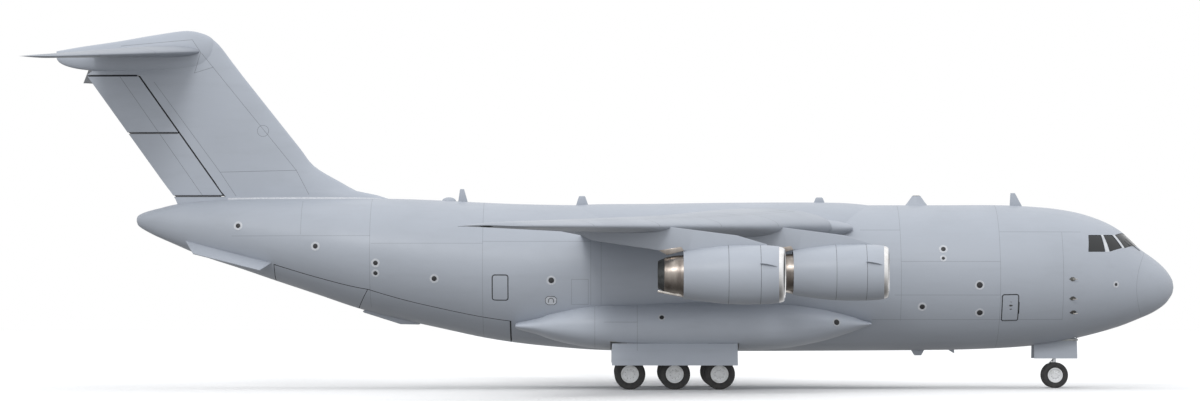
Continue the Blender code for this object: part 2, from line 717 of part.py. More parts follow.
def hinge_room(ends, radii, gaps, across, grow):
    """A half round nose ahead of a hinge line, past both ends by the gaps and larger by grow."""
    rise = 3 - across
    line = ends[1] - ends[0]
    stretch = line.length / abs(line[across])
    past = [gap / abs(line[across]) for gap in gaps]
    rings = []
    for step, radius in enumerate(radii):
        share = step / NOSE_STEPS
        if step == 0:
            share -= past[0]
        if step == NOSE_STEPS:
            share += past[1]
        centre = ends[0] + line * share
        full = radius + grow
        ring = []
        for i in range(NOSE_FACETS + 1):
            turn = math.pi * (i / NOSE_FACETS - 0.5)
            ring.append(centre + Vector((full * math.cos(turn) * stretch, 0, 0)))
            ring[-1][rise] += full * math.sin(turn)
        for side in (1, -1):
            ring.append(centre - Vector((0.010, 0, 0)))
            ring[-1][rise] += side * (full - 0.004)
        rings.append(ring)
    return loft("nose", rings)


def room_behind(ends, gaps, across):
    """All that lies behind a hinge line, past both ends by the gaps."""
    line = ends[1] - ends[0]
    outline = []
    for end, way, gap in zip(ends, (-1, 1), gaps):
        point = end + line * way * gap / abs(line[across])
        outline.append((point.x, point[across]))
    outline += [(-12.5, outline[1][1]), (-12.5, outline[0][1])]
    return prism("behind", outline, "z" if across == 1 else "y", *((2, 8) if across == 1 else (-1, 1)))


def take_panel(name, surface, ends, radii, across):
    """A copy of what lies behind the hinge line, with a half round nose."""
    panel = keep(twin(surface, name), room_behind(ends, (0, 0), across))
    return add(panel, hinge_room(ends, radii, (0, 0), across, -NOSE_SINK))


def open_room(surface, ends, radii, gaps, across):
    """Cut the room that panels turn in out of a wing or tail surface."""
    cut(surface, room_behind(ends, gaps, across))
    cut(surface, hinge_room(ends, radii, gaps, across, NOSE_GAP))


def add_pins(panel, ends, gaps, face_normal, radius):
    """Round pins on the hinge line that reach to 0.3 mm from the faces beyond both ends of a panel.

    The gaps are measured square to those faces, and a gap of 0 means no pin.
    """
    along = (ends[1] - ends[0]).normalized()
    lean = math.acos(min(1.0, abs(along.dot(face_normal))))
    for end, way, gap in zip(ends, (-along, along), gaps):
        if gap > 0:
            reach = (gap - SEAT - radius * math.sin(lean)) / math.cos(lean)
            add(panel, rod("pin", end - way * 0.05, end + way * reach, radius, 12))


# Tail

def fin_ring(z, front, back, thick):
    chord = front - back
    return [(front - along, height, z) for along, height in aerofoil(chord, thick / chord)]


def elevator_hinge_x(y):
    front, back = read_table(TAILPLANE, y, 1), read_table(TAILPLANE, y, 2)
    return front + (back - front) * ELEVATOR_HINGE


def make_tail():
    fin = loft("fin", [fin_ring(*row) for row in FIN])
    stations = [(row[0], fin_ring(*row)) for row in FIN]
    (z0, x0), (z1, x1) = RUDDER_HINGE
    slope = (x1 - x0) / (z1 - z0)
    # the lower rudder's top pin carries the foot of the upper one
    half_gap = RUDDER_END_GAP / 2
    spans = (("rudder_lower", (RUDDER_FOOT, RUDDER_SPLIT - half_gap), (RUDDER_END_GAP, RUDDER_END_GAP)),
             ("rudder_upper", (RUDDER_SPLIT + half_gap, RUDDER_TOP), (0, FIN_TOP_GAP)))
    for name, span, pin_gaps in spans:
        ends, radii = hinge_line(stations, span, lambda z: x0 + (z - z0) * slope, 2)
        panel = take_panel(name, fin, ends, radii, 2)
        add_pins(panel, ends, pin_gaps, Vector((0, 0, 1)), 0.010)
        dress(set_pivot(panel, ends[0]), "paint")
        print(name, "hinge", [tuple(round(c, 4) for c in e) for e in ends])
    # one room for both rudders, open at the fin's top
    ends, radii = hinge_line(stations, (RUDDER_FOOT, RUDDER_TOP), lambda z: x0 + (z - z0) * slope, 2)
    open_room(fin, ends, radii, (RUDDER_END_GAP, 0.2), 2)
    cut(fin, fuselage_solid("skin", -SEAT))
    dress(fin, "paint")

    tail = loft("tailplane", [fin_ring(*row) for row in FIN_TIP])
    rings = []
    for x, top, bottom, half in BULLET:
        middle, rise = (top + bottom) / 2, (top - bottom) / 2
        rings.append([(x, half * math.cos(math.pi * i / 8), middle + rise * math.sin(math.pi * i / 8))
                      for i in range(16)])
    add(tail, loft("bullet", rings))
    for side, name in ((-1, "elevator_right"), (1, "elevator_left")):
        stations = [(y, [(f - along, side * y, z + height) for along, height in aerofoil(f - b, t)])
                    for y, f, b, z, t in TAILPLANE]
        half_plane = loft("stabiliser", [ring for _, ring in stations])
        ends, radii = hinge_line(stations, ELEVATOR_SPAN, elevator_hinge_x, 1)
        elevator = take_panel(name, half_plane, ends, radii, 1)
        open_room(half_plane, ends, radii, (END_GAP, END_GAP), 1)
        add_pins(elevator, ends, (END_GAP, END_GAP), Vector((0, 1, 0)), 0.008)
        dress(set_pivot(elevator, ends[0]), "paint")
        print(name, "hinge", [tuple(round(c, 4) for c in e) for e in ends])
        add(tail, half_plane)
    # what of the bullet and the fin's tip would hang into the rudder's room is cut off square
    cut(tail, block("below", (-12.5, -8.0), (-1, 1), (6.0, FIN[-1][0] + SEAT)))
    dress(tail, "paint")


# Sponsons and landing gear

def sponson_ring(x, top, bottom, outer, grow=0.0):
    middle, half_high = (top + bottom) / 2, (top - bottom) / 2 + grow
    centre, half_wide = SPONSON_INNER, outer - SPONSON_INNER + grow
    ring = [(x, -centre + 0.3, middle + half_high), (x, -centre + 0.3, middle - half_high)]
    for i in range(13):
        turn = -math.pi / 2 + math.pi * i / 12
        wide = math.copysign(abs(math.cos(turn)) ** 0.75, math.cos(turn))
        high = math.copysign(abs(math.sin(turn)) ** 0.85, math.sin(turn))
        ring.append((x, -centre - half_wide * wide, middle + half_high * high))
    return ring


def make_sponsons():
    sponson = loft("sponson_right", [sponson_ring(*row) for row in SPONSON])
    cut(sponson, fuselage_solid("skin", -SEAT))
    (x0, x1), (y0, y1), zs = MAIN_WELL
    cut(sponson, block("well", (x0, x1), (-y1, -y0), zs))
    top, foot = (y1 + 0.008, 0.95), (y1 + 0.17, 0.50)
    plate = prism("main_gear_door_right",
                  ((-top[0], top[1]), (-top[0] - 0.02, top[1]), (-foot[0] - 0.02, foot[1]), (-foot[0], foot[1])),
                  "x", x0 + 0.03, x1 - 0.03)
    cut(plate, loft("grown", [sponson_ring(*row, grow=0.0006) for row in SPONSON]))
    for piece, name in ((sponson, "sponson_left"), (plate, "main_gear_door_left")):
        dress(mirrored(piece, name), "paint")
        dress(piece, "paint")


def wheel_rings(centre, tyre):
    """Rings of a pair of wheels and their shaft along Y."""
    radius, half, off = tyre
    rim = radius * 0.52
    profile = [(-off - half * 0.60, rim * 0.30), (-off - half * 0.55, rim * 0.85), (-off - half * 0.85, rim),
               (-off - half, radius * 0.82), (-off - half * 0.60, radius), (-off + half * 0.60, radius),
               (-off + half, radius * 0.82), (-off + half * 0.85, rim), (-off + half * 0.6, AXLE_R)]
    profile += [(-y, r) for y, r in reversed(profile)]
    x, y0, z = centre
    turns = [2 * math.pi * (i + 0.5) / WHEEL_SIDES for i in range(WHEEL_SIDES)]
    return [[(x + r * math.cos(t), y0 + y, z + r * math.sin(t)) for t in turns] for y, r in profile]


def axle_height(tyre):
    """The tyre stands on a flat of its polygon."""
    return tyre[0] * math.cos(math.pi / WHEEL_SIDES)


def leg_foot(body, x, y, z, tyre):
    """A bearing block round the shaft."""
    half = tyre[2] - tyre[1] - 0.012
    add(body, rod("bearing", (x, y - half, z), (x, y + half, z), 0.055, 12))


def bore_foot(body, x, y, z):
    hole = rod("bore", (x, y - 0.5, z), (x, y + 0.5, z), AXLE_R + BORE_PLAY, WHEEL_SIDES)
    return cut(body, hole)


def make_main_gear():
    z = axle_height(MAIN_TYRE)
    (x0, x1), _, (_, roof) = MAIN_WELL
    legs = block("main_gear_legs_right", (x0 + SEAT, x1 - SEAT), (-MAIN_Y - 0.06, -MAIN_Y + 0.06), (1.10, roof - SEAT))
    for x in MAIN_ROWS:
        add(legs, rod("leg", (x, -MAIN_Y, z + 0.03), (x, -MAIN_Y, 1.12), 0.048, 10))
        leg_foot(legs, x, -MAIN_Y, z, MAIN_TYRE)
    for x in MAIN_ROWS:
        bore_foot(legs, x, -MAIN_Y, z)
    dress(mirrored(legs, "main_gear_legs_left"), "gear")
    dress(legs, "gear")
    for side, word in ((-1, "right"), (1, "left")):
        for number, x in enumerate(reversed(MAIN_ROWS), 1):
            centre = (x, side * MAIN_Y, z)
            wheels = loft(f"main_wheels_{word}_{number}", wheel_rings(centre, MAIN_TYRE))
            dress(set_pivot(wheels, centre), "rubber")


def make_nose_gear():
    z = axle_height(NOSE_TYRE)
    leg = rod("nose_leg", (NOSE_X, 0, NOSE_PISTON_TOP + SEAT), (NOSE_X, 0, 1.22), 0.075, 16)
    bar = block("trunnion", (NOSE_X - 0.06, NOSE_X + 0.06), (-1.2, 1.2), (1.12, 1.22))
    keep(bar, fuselage_solid("inside", SHELL_WALL + SEAT, RADOME_SEAM, FORWARD_SEAM))
    add(leg, bar)
    dress(leg, "gear")

    fork = rod("nose_fork", (NOSE_X, 0, z + 0.02), (NOSE_X, 0, NOSE_PISTON_TOP), 0.048, 16)
    leg_foot(fork, NOSE_X, 0, z, NOSE_TYRE)
    add(fork, block("tow_lug", (NOSE_X + 0.03, NOSE_X + 0.11), (-0.04, 0.04), (z + 0.07, z + 0.14)))
    bore_foot(fork, NOSE_X, 0, z)
    dress(set_pivot(fork, (NOSE_X, 0, NOSE_PISTON_TOP)), "gear")

    wheels = loft("nose_wheels", wheel_rings((NOSE_X, 0, z), NOSE_TYRE))
    dress(set_pivot(wheels, (NOSE_X, 0, z)), "rubber")

    (x0, x1), (y0, y1), _ = NOSE_WELL
    top, foot = (y1 - 0.06, 1.05), (y1 + 0.03, 0.62)
    door = prism("nose_gear_door_right",
                 ((-top[0], top[1]), (-top[0] - 0.018, top[1]), (-foot[0] - 0.018, foot[1]), (-foot[0], foot[1])),
                 "x", x0 + 0.02, x1 - 0.02)
    hinge_bar = block("hinge_bar", (x0 + SEAT, x1 - SEAT), (-y1 + SEAT, -y1 + 0.05), (0.99, 1.03))
    add(door, hinge_bar)
    dress(mirrored(door, "nose_gear_door_left"), "paint")
    dress(door, "paint")


# Engines

def turned(profile, lip_x, y, z, sides=ENGINE_SIDES):
    turns = [2 * math.pi * i / sides for i in range(sides)]
    return [[(lip_x - back, y + r * math.cos(t), z + r * math.sin(t)) for t in turns] for back, r in profile]


def make_fan(name, lip_x, span, z, side):
    """A hub with twisted blades, and its spinner. All fans turn the same way, so none is a mirror image."""
    front, back = FAN_PLACE
    y = span
    rings = []
    for share in (0.0, 1.0):
        ring = []
        for blade in range(FAN_BLADES):
            middle = 2 * math.pi * blade / FAN_BLADES
            for reach, turn in ((FAN_HUB, -0.09), (FAN_TIP, -0.02 - 0.22 * share), (FAN_TIP, 0.02 - 0.22 * share),
                                (FAN_HUB, 0.09)):
                angle = middle + turn + (0.08 - 0.16 * share if reach == FAN_HUB else 0.10)
                ring.append((lip_x - front - (back - front) * share, y + reach * math.cos(angle),
                             z + reach * math.sin(angle)))
        rings.append(ring)
    fan = loft(name, rings)
    add(fan, loft("spinner", turned(SPINNER, lip_x, y, z, 16)))
    fan.data.transform(Matrix.Translation((0, side * span - span, 0)))
    return dress(set_pivot(fan, (lip_x - front, side * span, z)), "metal", 25)


def make_engines():
    for place, span, lip_x, z in ENGINES:
        for side, word in ((-1, "right"), (1, "left")):
            y = side * span
            tag = f"{place}_{word}"
            cowl = loft(f"nacelle_{tag}", turned(COWL_OUTER + COWL_INNER, lip_x, y, z), joined=True)
            profile = ENGINE_OUTER + EXHAUST_INNER
            engine = loft(f"engine_{tag}", turned(profile, lip_x, y, z))
            boss_front, boss_r = ENGINE_BOSS
            add(engine, rod("boss", (lip_x - 0.82, y, z), (lip_x - boss_front, y, z), boss_r))
            make_fan(f"fan_{tag}", lip_x, span, z, side)
            outline = [(lip_x - back, z + up) for back, up in PYLON]
            pylon = prism(f"pylon_{tag}", outline, "y", y - PYLON_HALF, y + PYLON_HALF)
            plan = ((0.30, 0.0), (0.75, 0.6), (1.60, 1.0), (3.0, 1.0), (4.2, 0.15))
            lens = [(lip_x - b, y + PYLON_HALF * w) for b, w in plan]
            lens += [(lip_x - b, y - PYLON_HALF * w) for b, w in reversed(plan) if w > 0]
            keep(pylon, prism("plan", lens, "z", 1, 5))
            wing = wing_solid("wing", 0.0006)
            if side > 0:
                wing.data.transform(Matrix.Diagonal((1, -1, 1, 1)))
                wing.data.flip_normals()
            cut(pylon, wing)
            grown = [(back, r + SEAT) for back, r in COWL_OUTER]
            cut(pylon, loft("cowl", turned(((-0.0003, 0.1),) + tuple(grown) + ((1.9903, 0.1),), lip_x, y, z)))
            dress(cowl, "paint")
            dress(engine, "metal")
            dress(pylon, "paint")


clear_scene()
make_fuselage()
make_glazing()
make_interior()
make_tail_doors()
make_wings()
make_tail()
make_sponsons()
make_main_gear()
make_nose_gear()
make_engines()
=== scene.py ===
# Looks of the half-size military transport plane: skins, glass, engines, gear, finishes, light and camera.
import json
import math

import bmesh
import bpy
from mathutils import Matrix, Vector


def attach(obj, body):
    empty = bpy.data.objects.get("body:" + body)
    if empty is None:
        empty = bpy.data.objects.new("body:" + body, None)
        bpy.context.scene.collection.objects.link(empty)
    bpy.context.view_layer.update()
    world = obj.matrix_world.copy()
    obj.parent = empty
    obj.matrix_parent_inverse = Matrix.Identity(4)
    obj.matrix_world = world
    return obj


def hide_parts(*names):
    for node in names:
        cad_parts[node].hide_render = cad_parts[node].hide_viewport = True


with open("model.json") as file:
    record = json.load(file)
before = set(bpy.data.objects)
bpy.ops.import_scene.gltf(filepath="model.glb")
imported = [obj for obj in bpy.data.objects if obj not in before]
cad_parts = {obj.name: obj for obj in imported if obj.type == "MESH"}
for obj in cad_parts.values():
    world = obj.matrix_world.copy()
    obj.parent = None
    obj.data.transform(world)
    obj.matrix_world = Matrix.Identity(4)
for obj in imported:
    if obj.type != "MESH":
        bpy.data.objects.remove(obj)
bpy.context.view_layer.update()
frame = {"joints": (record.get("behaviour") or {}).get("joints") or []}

# Ways of working

def deselectAll():
    if bpy.context.object and bpy.context.object.mode != "OBJECT":
        bpy.ops.object.mode_set(mode="OBJECT")
    bpy.ops.object.select_all(action="DESELECT")


def pick(piece):
    deselectAll()
    piece.hide_viewport = False
    piece.select_set(True)
    bpy.context.view_layer.objects.active = piece
    return piece


def tidyMesh(piece, capped=True, weld=0.00002):
    # welds doubles, closes open ends and turns the faces outwards
    pick(piece)
    bpy.ops.object.mode_set(mode="EDIT")
    bpy.ops.mesh.select_all(action="SELECT")
    bpy.ops.mesh.remove_doubles(threshold=weld)
    if capped:
        bpy.ops.mesh.fill_holes(sides=0)
    bpy.ops.mesh.normals_make_consistent(inside=False)
    bpy.ops.object.mode_set(mode="OBJECT")
    return piece


def newPiece(name, add, **settings):
    # one of Blender's own primitives, alone in the selection
    deselectAll()
    add(**settings)
    piece = bpy.context.object
    piece.name = name
    return piece


def outlinePiece(name, points, fill="NOTHING"):
    # a ring of edges through the points, or a face between them, selected in edit mode
    piece = newPiece(name, bpy.ops.mesh.primitive_circle_add, vertices=len(points), radius=1, fill_type=fill)
    for vertex, point in zip(piece.data.vertices, points):
        vertex.co = point
    bpy.ops.object.mode_set(mode="EDIT")
    bpy.ops.mesh.select_all(action="SELECT")
    return piece


def wrapGrid(name, stops, sides, place, capped=True):
    # a flat grid rolled into a tube: place(stop, turn) says where each crossing goes
    piece = newPiece(name, bpy.ops.mesh.primitive_grid_add, x_subdivisions=len(stops) - 1,
        y_subdivisions=sides, size=2, calc_uvs=True)
    for vertex in piece.data.vertices:
        i = round((vertex.co.x + 1) / 2 * (len(stops) - 1))
        j = round((vertex.co.y + 1) / 2 * sides)
        vertex.co = place(stops[i], 2 * math.pi * j / sides)
    return tidyMesh(piece, capped)


def spunPiece(name, outline, steps, centre=(0, 0, 0), axis=(1, 0, 0)):
    # a closed outline of (distance along the axis, radius) spun right round; the axis is X or Y
    along = Vector(axis)
    piece = outlinePiece(name,
        [Vector(centre) + along * reach + Vector((0, 0, radius)) for reach, radius in outline])
    bpy.ops.mesh.spin(steps=steps, angle=2 * math.pi, center=centre, axis=axis)
    return tidyMesh(piece, capped=False)


def prismPiece(name, corners, reach, rounding=0.0, segments=4):
    # a flat outline pushed along reach, with its long edges rounded
    piece = outlinePiece(name, corners, "NGON")
    bpy.ops.mesh.extrude_region_move(TRANSFORM_OT_translate={"value": tuple(reach)})
    if rounding:
        bpy.ops.mesh.select_all(action="DESELECT")
        mesh = bmesh.from_edit_mesh(piece.data)
        way = Vector(reach).normalized()
        for edge in mesh.edges:
            if abs((edge.verts[0].co - edge.verts[1].co).normalized().dot(way)) > 0.9999:
                edge.select = True
        mesh.select_flush_mode()
        bmesh.update_edit_mesh(piece.data)
        bpy.ops.mesh.bevel(offset=rounding, segments=segments, affect="EDGES")
    bpy.ops.mesh.select_all(action="SELECT")
    bpy.ops.mesh.normals_make_consistent(inside=False)
    bpy.ops.object.mode_set(mode="OBJECT")
    return piece


def sidePrism(name, outline, y, width):
    # a side view of x and z pushed to port from y
    return prismPiece(name, [Vector((x, y, z)) for x, z in outline], (0, width, 0))


def crossPrism(name, outline, x, length):
    # a section of y and z pushed forwards from x
    return prismPiece(name, [Vector((x, y, z)) for y, z in outline], (length, 0, 0))


def settle(piece, bevel):
    # place, turn and size go into the mesh, and the edges are rounded
    bpy.ops.object.transform_apply(location=True, rotation=True, scale=True)
    return bevelEdges(piece, bevel) if bevel else piece


def boxPiece(name, low, high, bevel=0.0):
    middle = [(a + b) / 2 for a, b in zip(low, high)]
    size = [b - a for a, b in zip(low, high)]
    return settle(newPiece(name, bpy.ops.mesh.primitive_cube_add, size=1, location=middle, scale=size), bevel)


def rodPiece(name, start, end, radius, sides=20, bevel=0.0):
    start, end = Vector(start), Vector(end)
    way = end - start
    rod = newPiece(name, bpy.ops.mesh.primitive_cylinder_add, vertices=sides, radius=radius, depth=way.length,
        location=(start + end) / 2, rotation=way.to_track_quat("Z", "Y").to_euler())
    return settle(rod, bevel)


def useModifier(piece, kind, **settings):
    pick(piece)
    modifier = piece.modifiers.new(kind.title(), kind)
    for key, value in settings.items():
        setattr(modifier, key, value)
    bpy.ops.object.modifier_apply(modifier=modifier.name)
    return piece


def bevelEdges(piece, width, segments=2, **more):
    return useModifier(piece, "BEVEL", width=width, segments=segments, limit_method="ANGLE", **more)


def carve(piece, cutter, operation="DIFFERENCE", keepCutter=False):
    useModifier(piece, "BOOLEAN", operation=operation, object=cutter, solver="EXACT")
    if not keepCutter:
        bpy.data.objects.remove(cutter)
    return piece


def keepWithin(piece, cutter):
    return carve(piece, cutter, "INTERSECT")


def darkened(cutter, slot=1):
    # what this cutter leaves gets the finish in another slot of the piece that it cuts: near black, the
    # painted shade of the gap
    giveFinish(cutter, *([gapShade] * (slot + 1)))
    for face in cutter.data.polygons:
        face.material_index = slot
    return cutter


def copyOf(piece, name, move=None):
    twin = piece.copy()
    twin.data = piece.data.copy()
    twin.name = name
    bpy.context.collection.objects.link(twin)
    if move is not None:
        twin.data.transform(move)
        if move.determinant() < 0:
            twin.data.flip_normals()
    return twin


def mirrorOf(piece, name):
    return copyOf(piece, name, Matrix.Diagonal((1, -1, 1, 1)))


def joinPieces(name, pieces):
    deselectAll()
    for piece in pieces:
        piece.select_set(True)
    bpy.context.view_layer.objects.active = pieces[0]
    bpy.ops.object.join()
    joined = bpy.context.object
    joined.name = name
    return joined


def giveFinish(piece, *finishes):
    piece.data.materials.clear()
    for finish in finishes:
        piece.data.materials.append(finish)
    return piece


def finishPiece(piece, body="airframe", slot="grey_paint", standsFor=(), smoothAngle=32):
    # smooth shading, the body it moves with and the nodes that it stands for, which are hidden; slot is not
    # used
    pick(piece)
    bpy.ops.object.shade_smooth_by_angle(angle=math.radians(smoothAngle))
    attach(piece, body)
    if standsFor:
        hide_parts(*standsFor)


def finishBothSides(piece, leftName, node, slot="grey_paint", moves=False):
    # the starboard piece and its mirror image, each for the node of its side and fixed unless it moves
    for side, made in (("right", piece), ("left", mirrorOf(piece, leftName))):
        name = f"{node}_{side}"
        finishPiece(made, name if moves else "airframe", slot, [name])


def jointOf(body):
    # a point on the hinge of this body, and the hinge's direction
    joint = next(j for j in frame["joints"] if j["child"] == body)
    return Vector(joint["pos_m"]), Vector(joint["axis"])


def smoothStep(t, start, first, end, last):
    # from start to end, leaving along first and arriving along last
    return ((2 * t**3 - 3 * t**2 + 1) * start + (t**3 - 2 * t**2 + t) * first
            + (3 * t**2 - 2 * t**3) * end + (t**3 - t**2) * last)


def smoothValue(rows, key, column):
    # a smooth curve through a table whose first column rises
    i = 0
    while i < len(rows) - 2 and key > rows[i + 1][0]:
        i += 1

    def slope(k):
        low, high = rows[max(0, k - 1)], rows[min(len(rows) - 1, k + 1)]
        return (high[column] - low[column]) / (high[0] - low[0])

    low, high = rows[i], rows[i + 1]
    gap = high[0] - low[0]
    share = min(1.0, max(0.0, (key - low[0]) / gap))
    return smoothStep(share, low[column], gap * slope(i), high[column], gap * slope(i + 1))


def straightValue(rows, key, column):
    # straight lines through a table whose first column rises
    i = 0
    while i < len(rows) - 2 and key > rows[i + 1][0]:
        i += 1
    low, high = rows[i], rows[i + 1]
    return low[column] + (high[column] - low[column]) * (key - low[0]) / (high[0] - low[0])


def spread(first, last, count):
    return [first + (last - first) * i / (count - 1) for i in range(count)]


# Finishes

def newMaterial(name, color, roughness, metallic=0.0, **more):
    material = bpy.data.materials.new(name)
    material.use_nodes = True
    shader = material.node_tree.nodes["Principled BSDF"]
    shader.inputs["Base Color"].default_value = (*color, 1)
    shader.inputs["Roughness"].default_value = roughness
    shader.inputs["Metallic"].default_value = metallic
    for key, value in more.items():
        shader.inputs[key].default_value = value
    return material


def addNode(tree, kind, links=(), **settings):
    # a node with its settings and what feeds its inputs, by number or name
    node = tree.nodes.new(kind)
    for key, value in settings.items():
        setattr(node, key, value)
    for key, source in links:
        if hasattr(source, "is_output"):
            tree.links.new(source, node.inputs[key])
        else:
            node.inputs[key].default_value = source
    return node


def addNoise(tree, place, scale, detail, roughness=0.5):
    return addNode(tree, "ShaderNodeTexNoise",
        [("Vector", place), ("Scale", scale), ("Detail", detail), ("Roughness", roughness)]).outputs["Fac"]


def remap(tree, value, low, high, first=0.0, last=1.0):
    # values from low to high become first to last, and stay there beyond
    return addNode(tree, "ShaderNodeMapRange", [("Value", value), ("From Min", low), ("From Max", high),
        ("To Min", first), ("To Max", last)]).outputs[0]


def mixColors(tree, share, first, second):
    # the first colour where share is 0 and the second where it is 1
    ends = [(key, end if hasattr(end, "is_output") else (*end, 1))
        for key, end in (("A", first), ("B", second))]
    return addNode(tree, "ShaderNodeMix", [("Factor", share), *ends], data_type="RGBA").outputs["Result"]


def feedShader(tree, color, roughness, height, strength):
    # colour, roughness and a fine relief into the material's shader
    shader = tree.nodes["Principled BSDF"]
    relief = addNode(tree, "ShaderNodeBump",
        [("Height", height), ("Strength", strength), ("Distance", 0.002)])
    for key, source in (("Base Color", color), ("Roughness", roughness), ("Normal", relief.outputs[0])):
        tree.links.new(source, shader.inputs[key])


def newGroup(name, inputs, outputs):
    group = bpy.data.node_groups.new(name, "ShaderNodeTree")
    for socket, kind, value in inputs:
        made = group.interface.new_socket(socket, in_out="INPUT", socket_type=kind)
        if value is not None:
            made.default_value = value
    for socket, kind in outputs:
        group.interface.new_socket(socket, in_out="OUTPUT", socket_type=kind)
    return group, group.nodes.new("NodeGroupInput"), group.nodes.new("NodeGroupOutput")


def makeWeatherGroup():
    # soft blotches, streaks along the airflow and a fine grain
    group, entry, leave = newGroup(
        "weather",
        [("Place", "NodeSocketVector", None), ("Blotch Size", "NodeSocketFloat", 0.5),
         ("Streak Length", "NodeSocketFloat", 6.0), ("Grain Size", "NodeSocketFloat", 220.0)],
        [("Blotches", "NodeSocketFloat"), ("Streaks", "NodeSocketFloat"), ("Grain", "NodeSocketFloat")])
    place, length = entry.outputs["Place"], entry.outputs["Streak Length"]
    squash = addNode(group, "ShaderNodeCombineXYZ", [(0, 1.0), (1, length), (2, length)])
    along = addNode(group, "ShaderNodeVectorMath", [(0, place), (1, squash.outputs[0])], operation="MULTIPLY")
    for socket, source in (("Blotches", addNoise(group, place, entry.outputs["Blotch Size"], 6.0, 0.62)),
            ("Streaks", addNoise(group, along.outputs[0], 0.9, 5.0, 0.6)),
            ("Grain", addNoise(group, place, entry.outputs["Grain Size"], 2.0))):
        group.links.new(source, leave.inputs[socket])
    return group


def makeSeamGroup(name, lines, halfWidth=0.004, circles=(), curves=()):
    # thin joints between panels, in the two coordinates that come in as X and Y: straight lines from end to
    # end, circles by middle and radius, and curves x = a + b (y - c) squared
    group, entry, leave = newGroup(name, [("Place", "NodeSocketVector", None)], [("Seam", "NodeSocketFloat")])
    place = entry.outputs["Place"]

    def math2(operation, first, second=0.0):
        return addNode(group, "ShaderNodeMath", [(0, first), (1, second)], operation=operation).outputs[0]

    def vector2(operation, first, second=(0, 0, 0), key=0):
        return addNode(group, "ShaderNodeVectorMath", [(0, first), (1, second)],
            operation=operation).outputs[key]

    distances = []
    for x0, y0, x1, y1 in lines:
        length = math.hypot(x1 - x0, y1 - y0)
        way = ((x1 - x0) / length, (y1 - y0) / length, 0)
        away = vector2("SUBTRACT", place, ((x0 + x1) / 2, (y0 + y1) / 2, 0))
        along, across = (vector2("DOT_PRODUCT", away, axis, "Value") for axis in (way, (-way[1], way[0], 0)))
        past = math2("SUBTRACT", math2("ABSOLUTE", along), length / 2)
        distances.append(math2("MAXIMUM", past, math2("ABSOLUTE", across)))
    for x, y, radius in circles:
        reach = vector2("LENGTH", vector2("SUBTRACT", place, (x, y, 0)), key="Value")
        distances.append(math2("ABSOLUTE", math2("SUBTRACT", reach, radius)))
    for a, b, c in curves:
        parts = addNode(group, "ShaderNodeSeparateXYZ", [(0, place)])
        off = math2("POWER", math2("ABSOLUTE", math2("SUBTRACT", parts.outputs[1], c)), 2.0)
        curve = math2("ADD", math2("MULTIPLY", off, b), a)
        distances.append(math2("ABSOLUTE", math2("SUBTRACT", parts.outputs[0], curve)))
    nearest = distances[0]
    for distance in distances[1:]:
        nearest = math2("MINIMUM", nearest, distance)
    group.links.new(math2("LESS_THAN", nearest, halfWidth), leave.inputs["Seam"])
    return group


weatherGroup = makeWeatherGroup()

paint = {
    "grey": (0.385, 0.415, 0.465),
    "stain": (0.285, 0.305, 0.335),
    "seam": (0.10, 0.11, 0.125),
    "roughness": 0.42,
    "specular": 0.42,
    "blotch": 0.16,
    "streak": 0.14,
}


def makePaint(name, seamGroup=None, readsUv=False, paintedLightFactor=1.0, seamPower=0.75):
    # semi-matte grey paint with faint stains, flow streaks and dark panel joints
    # a factor other than 1 makes a lighter or darker copy of the paint: painted light or painted shade for
    # the pieces that wear it
    grey = tuple(value * paintedLightFactor for value in paint["grey"])
    material = newMaterial(name, grey, paint["roughness"], **{"Specular IOR Level": paint["specular"]})
    tree = material.node_tree
    spots = addNode(tree, "ShaderNodeTexCoord")
    weather = addNode(tree, "ShaderNodeGroup", [("Place", spots.outputs["Object"])], node_tree=weatherGroup)
    blotch = remap(tree, weather.outputs["Blotches"], 0.42, 0.68, last=paint["blotch"])
    streak = remap(tree, weather.outputs["Streaks"], 0.5, 0.75, last=paint["streak"])
    dirt = addNode(tree, "ShaderNodeMath", [(0, blotch), (1, streak)], operation="ADD", use_clamp=True)
    color = mixColors(tree, dirt.outputs[0], grey, paint["stain"])
    shade = remap(tree, weather.outputs["Blotches"], 0.35, 0.7, paint["roughness"] - 0.05,
        paint["roughness"] + 0.1)
    if seamGroup is not None:
        place = spots.outputs["UV"]
        if not readsUv:
            parts = addNode(tree, "ShaderNodeSeparateXYZ", [(0, spots.outputs["Object"])]).outputs
            place = addNode(tree, "ShaderNodeCombineXYZ", [(0, parts[0]), (1, parts[2])]).outputs[0]
        joints = addNode(tree, "ShaderNodeGroup", [("Place", place)], node_tree=seamGroup)
        strength = addNode(tree, "ShaderNodeMath", [(0, joints.outputs["Seam"]), (1, seamPower)],
            operation="MULTIPLY")
        color = mixColors(tree, strength.outputs[0], color, paint["seam"])
    feedShader(tree, color, shade, weather.outputs["Grain"], 0.05)
    return material


def makeGrained(name, color, second, roughness, metallic=0.0, scale=8.0, low=0.4, high=0.65, bump=0.1,
        stretch=None):
    # one colour running into another in patches, with a matching fine relief
    material = newMaterial(name, color, roughness, metallic)
    tree = material.node_tree
    place = addNode(tree, "ShaderNodeTexCoord").outputs["Object"]
    if stretch:
        place = addNode(tree, "ShaderNodeVectorMath", [(0, place), (1, stretch)],
            operation="MULTIPLY").outputs[0]
    patch = addNoise(tree, place, scale, 6.0)
    mixed = mixColors(tree, remap(tree, patch, low, high), color, second)
    rough = remap(tree, patch, 0.3, 0.7, max(0.02, roughness - 0.07), roughness + 0.12)
    feedShader(tree, mixed, rough, addNoise(tree, place, scale * 18, 3.0), bump)
    return material


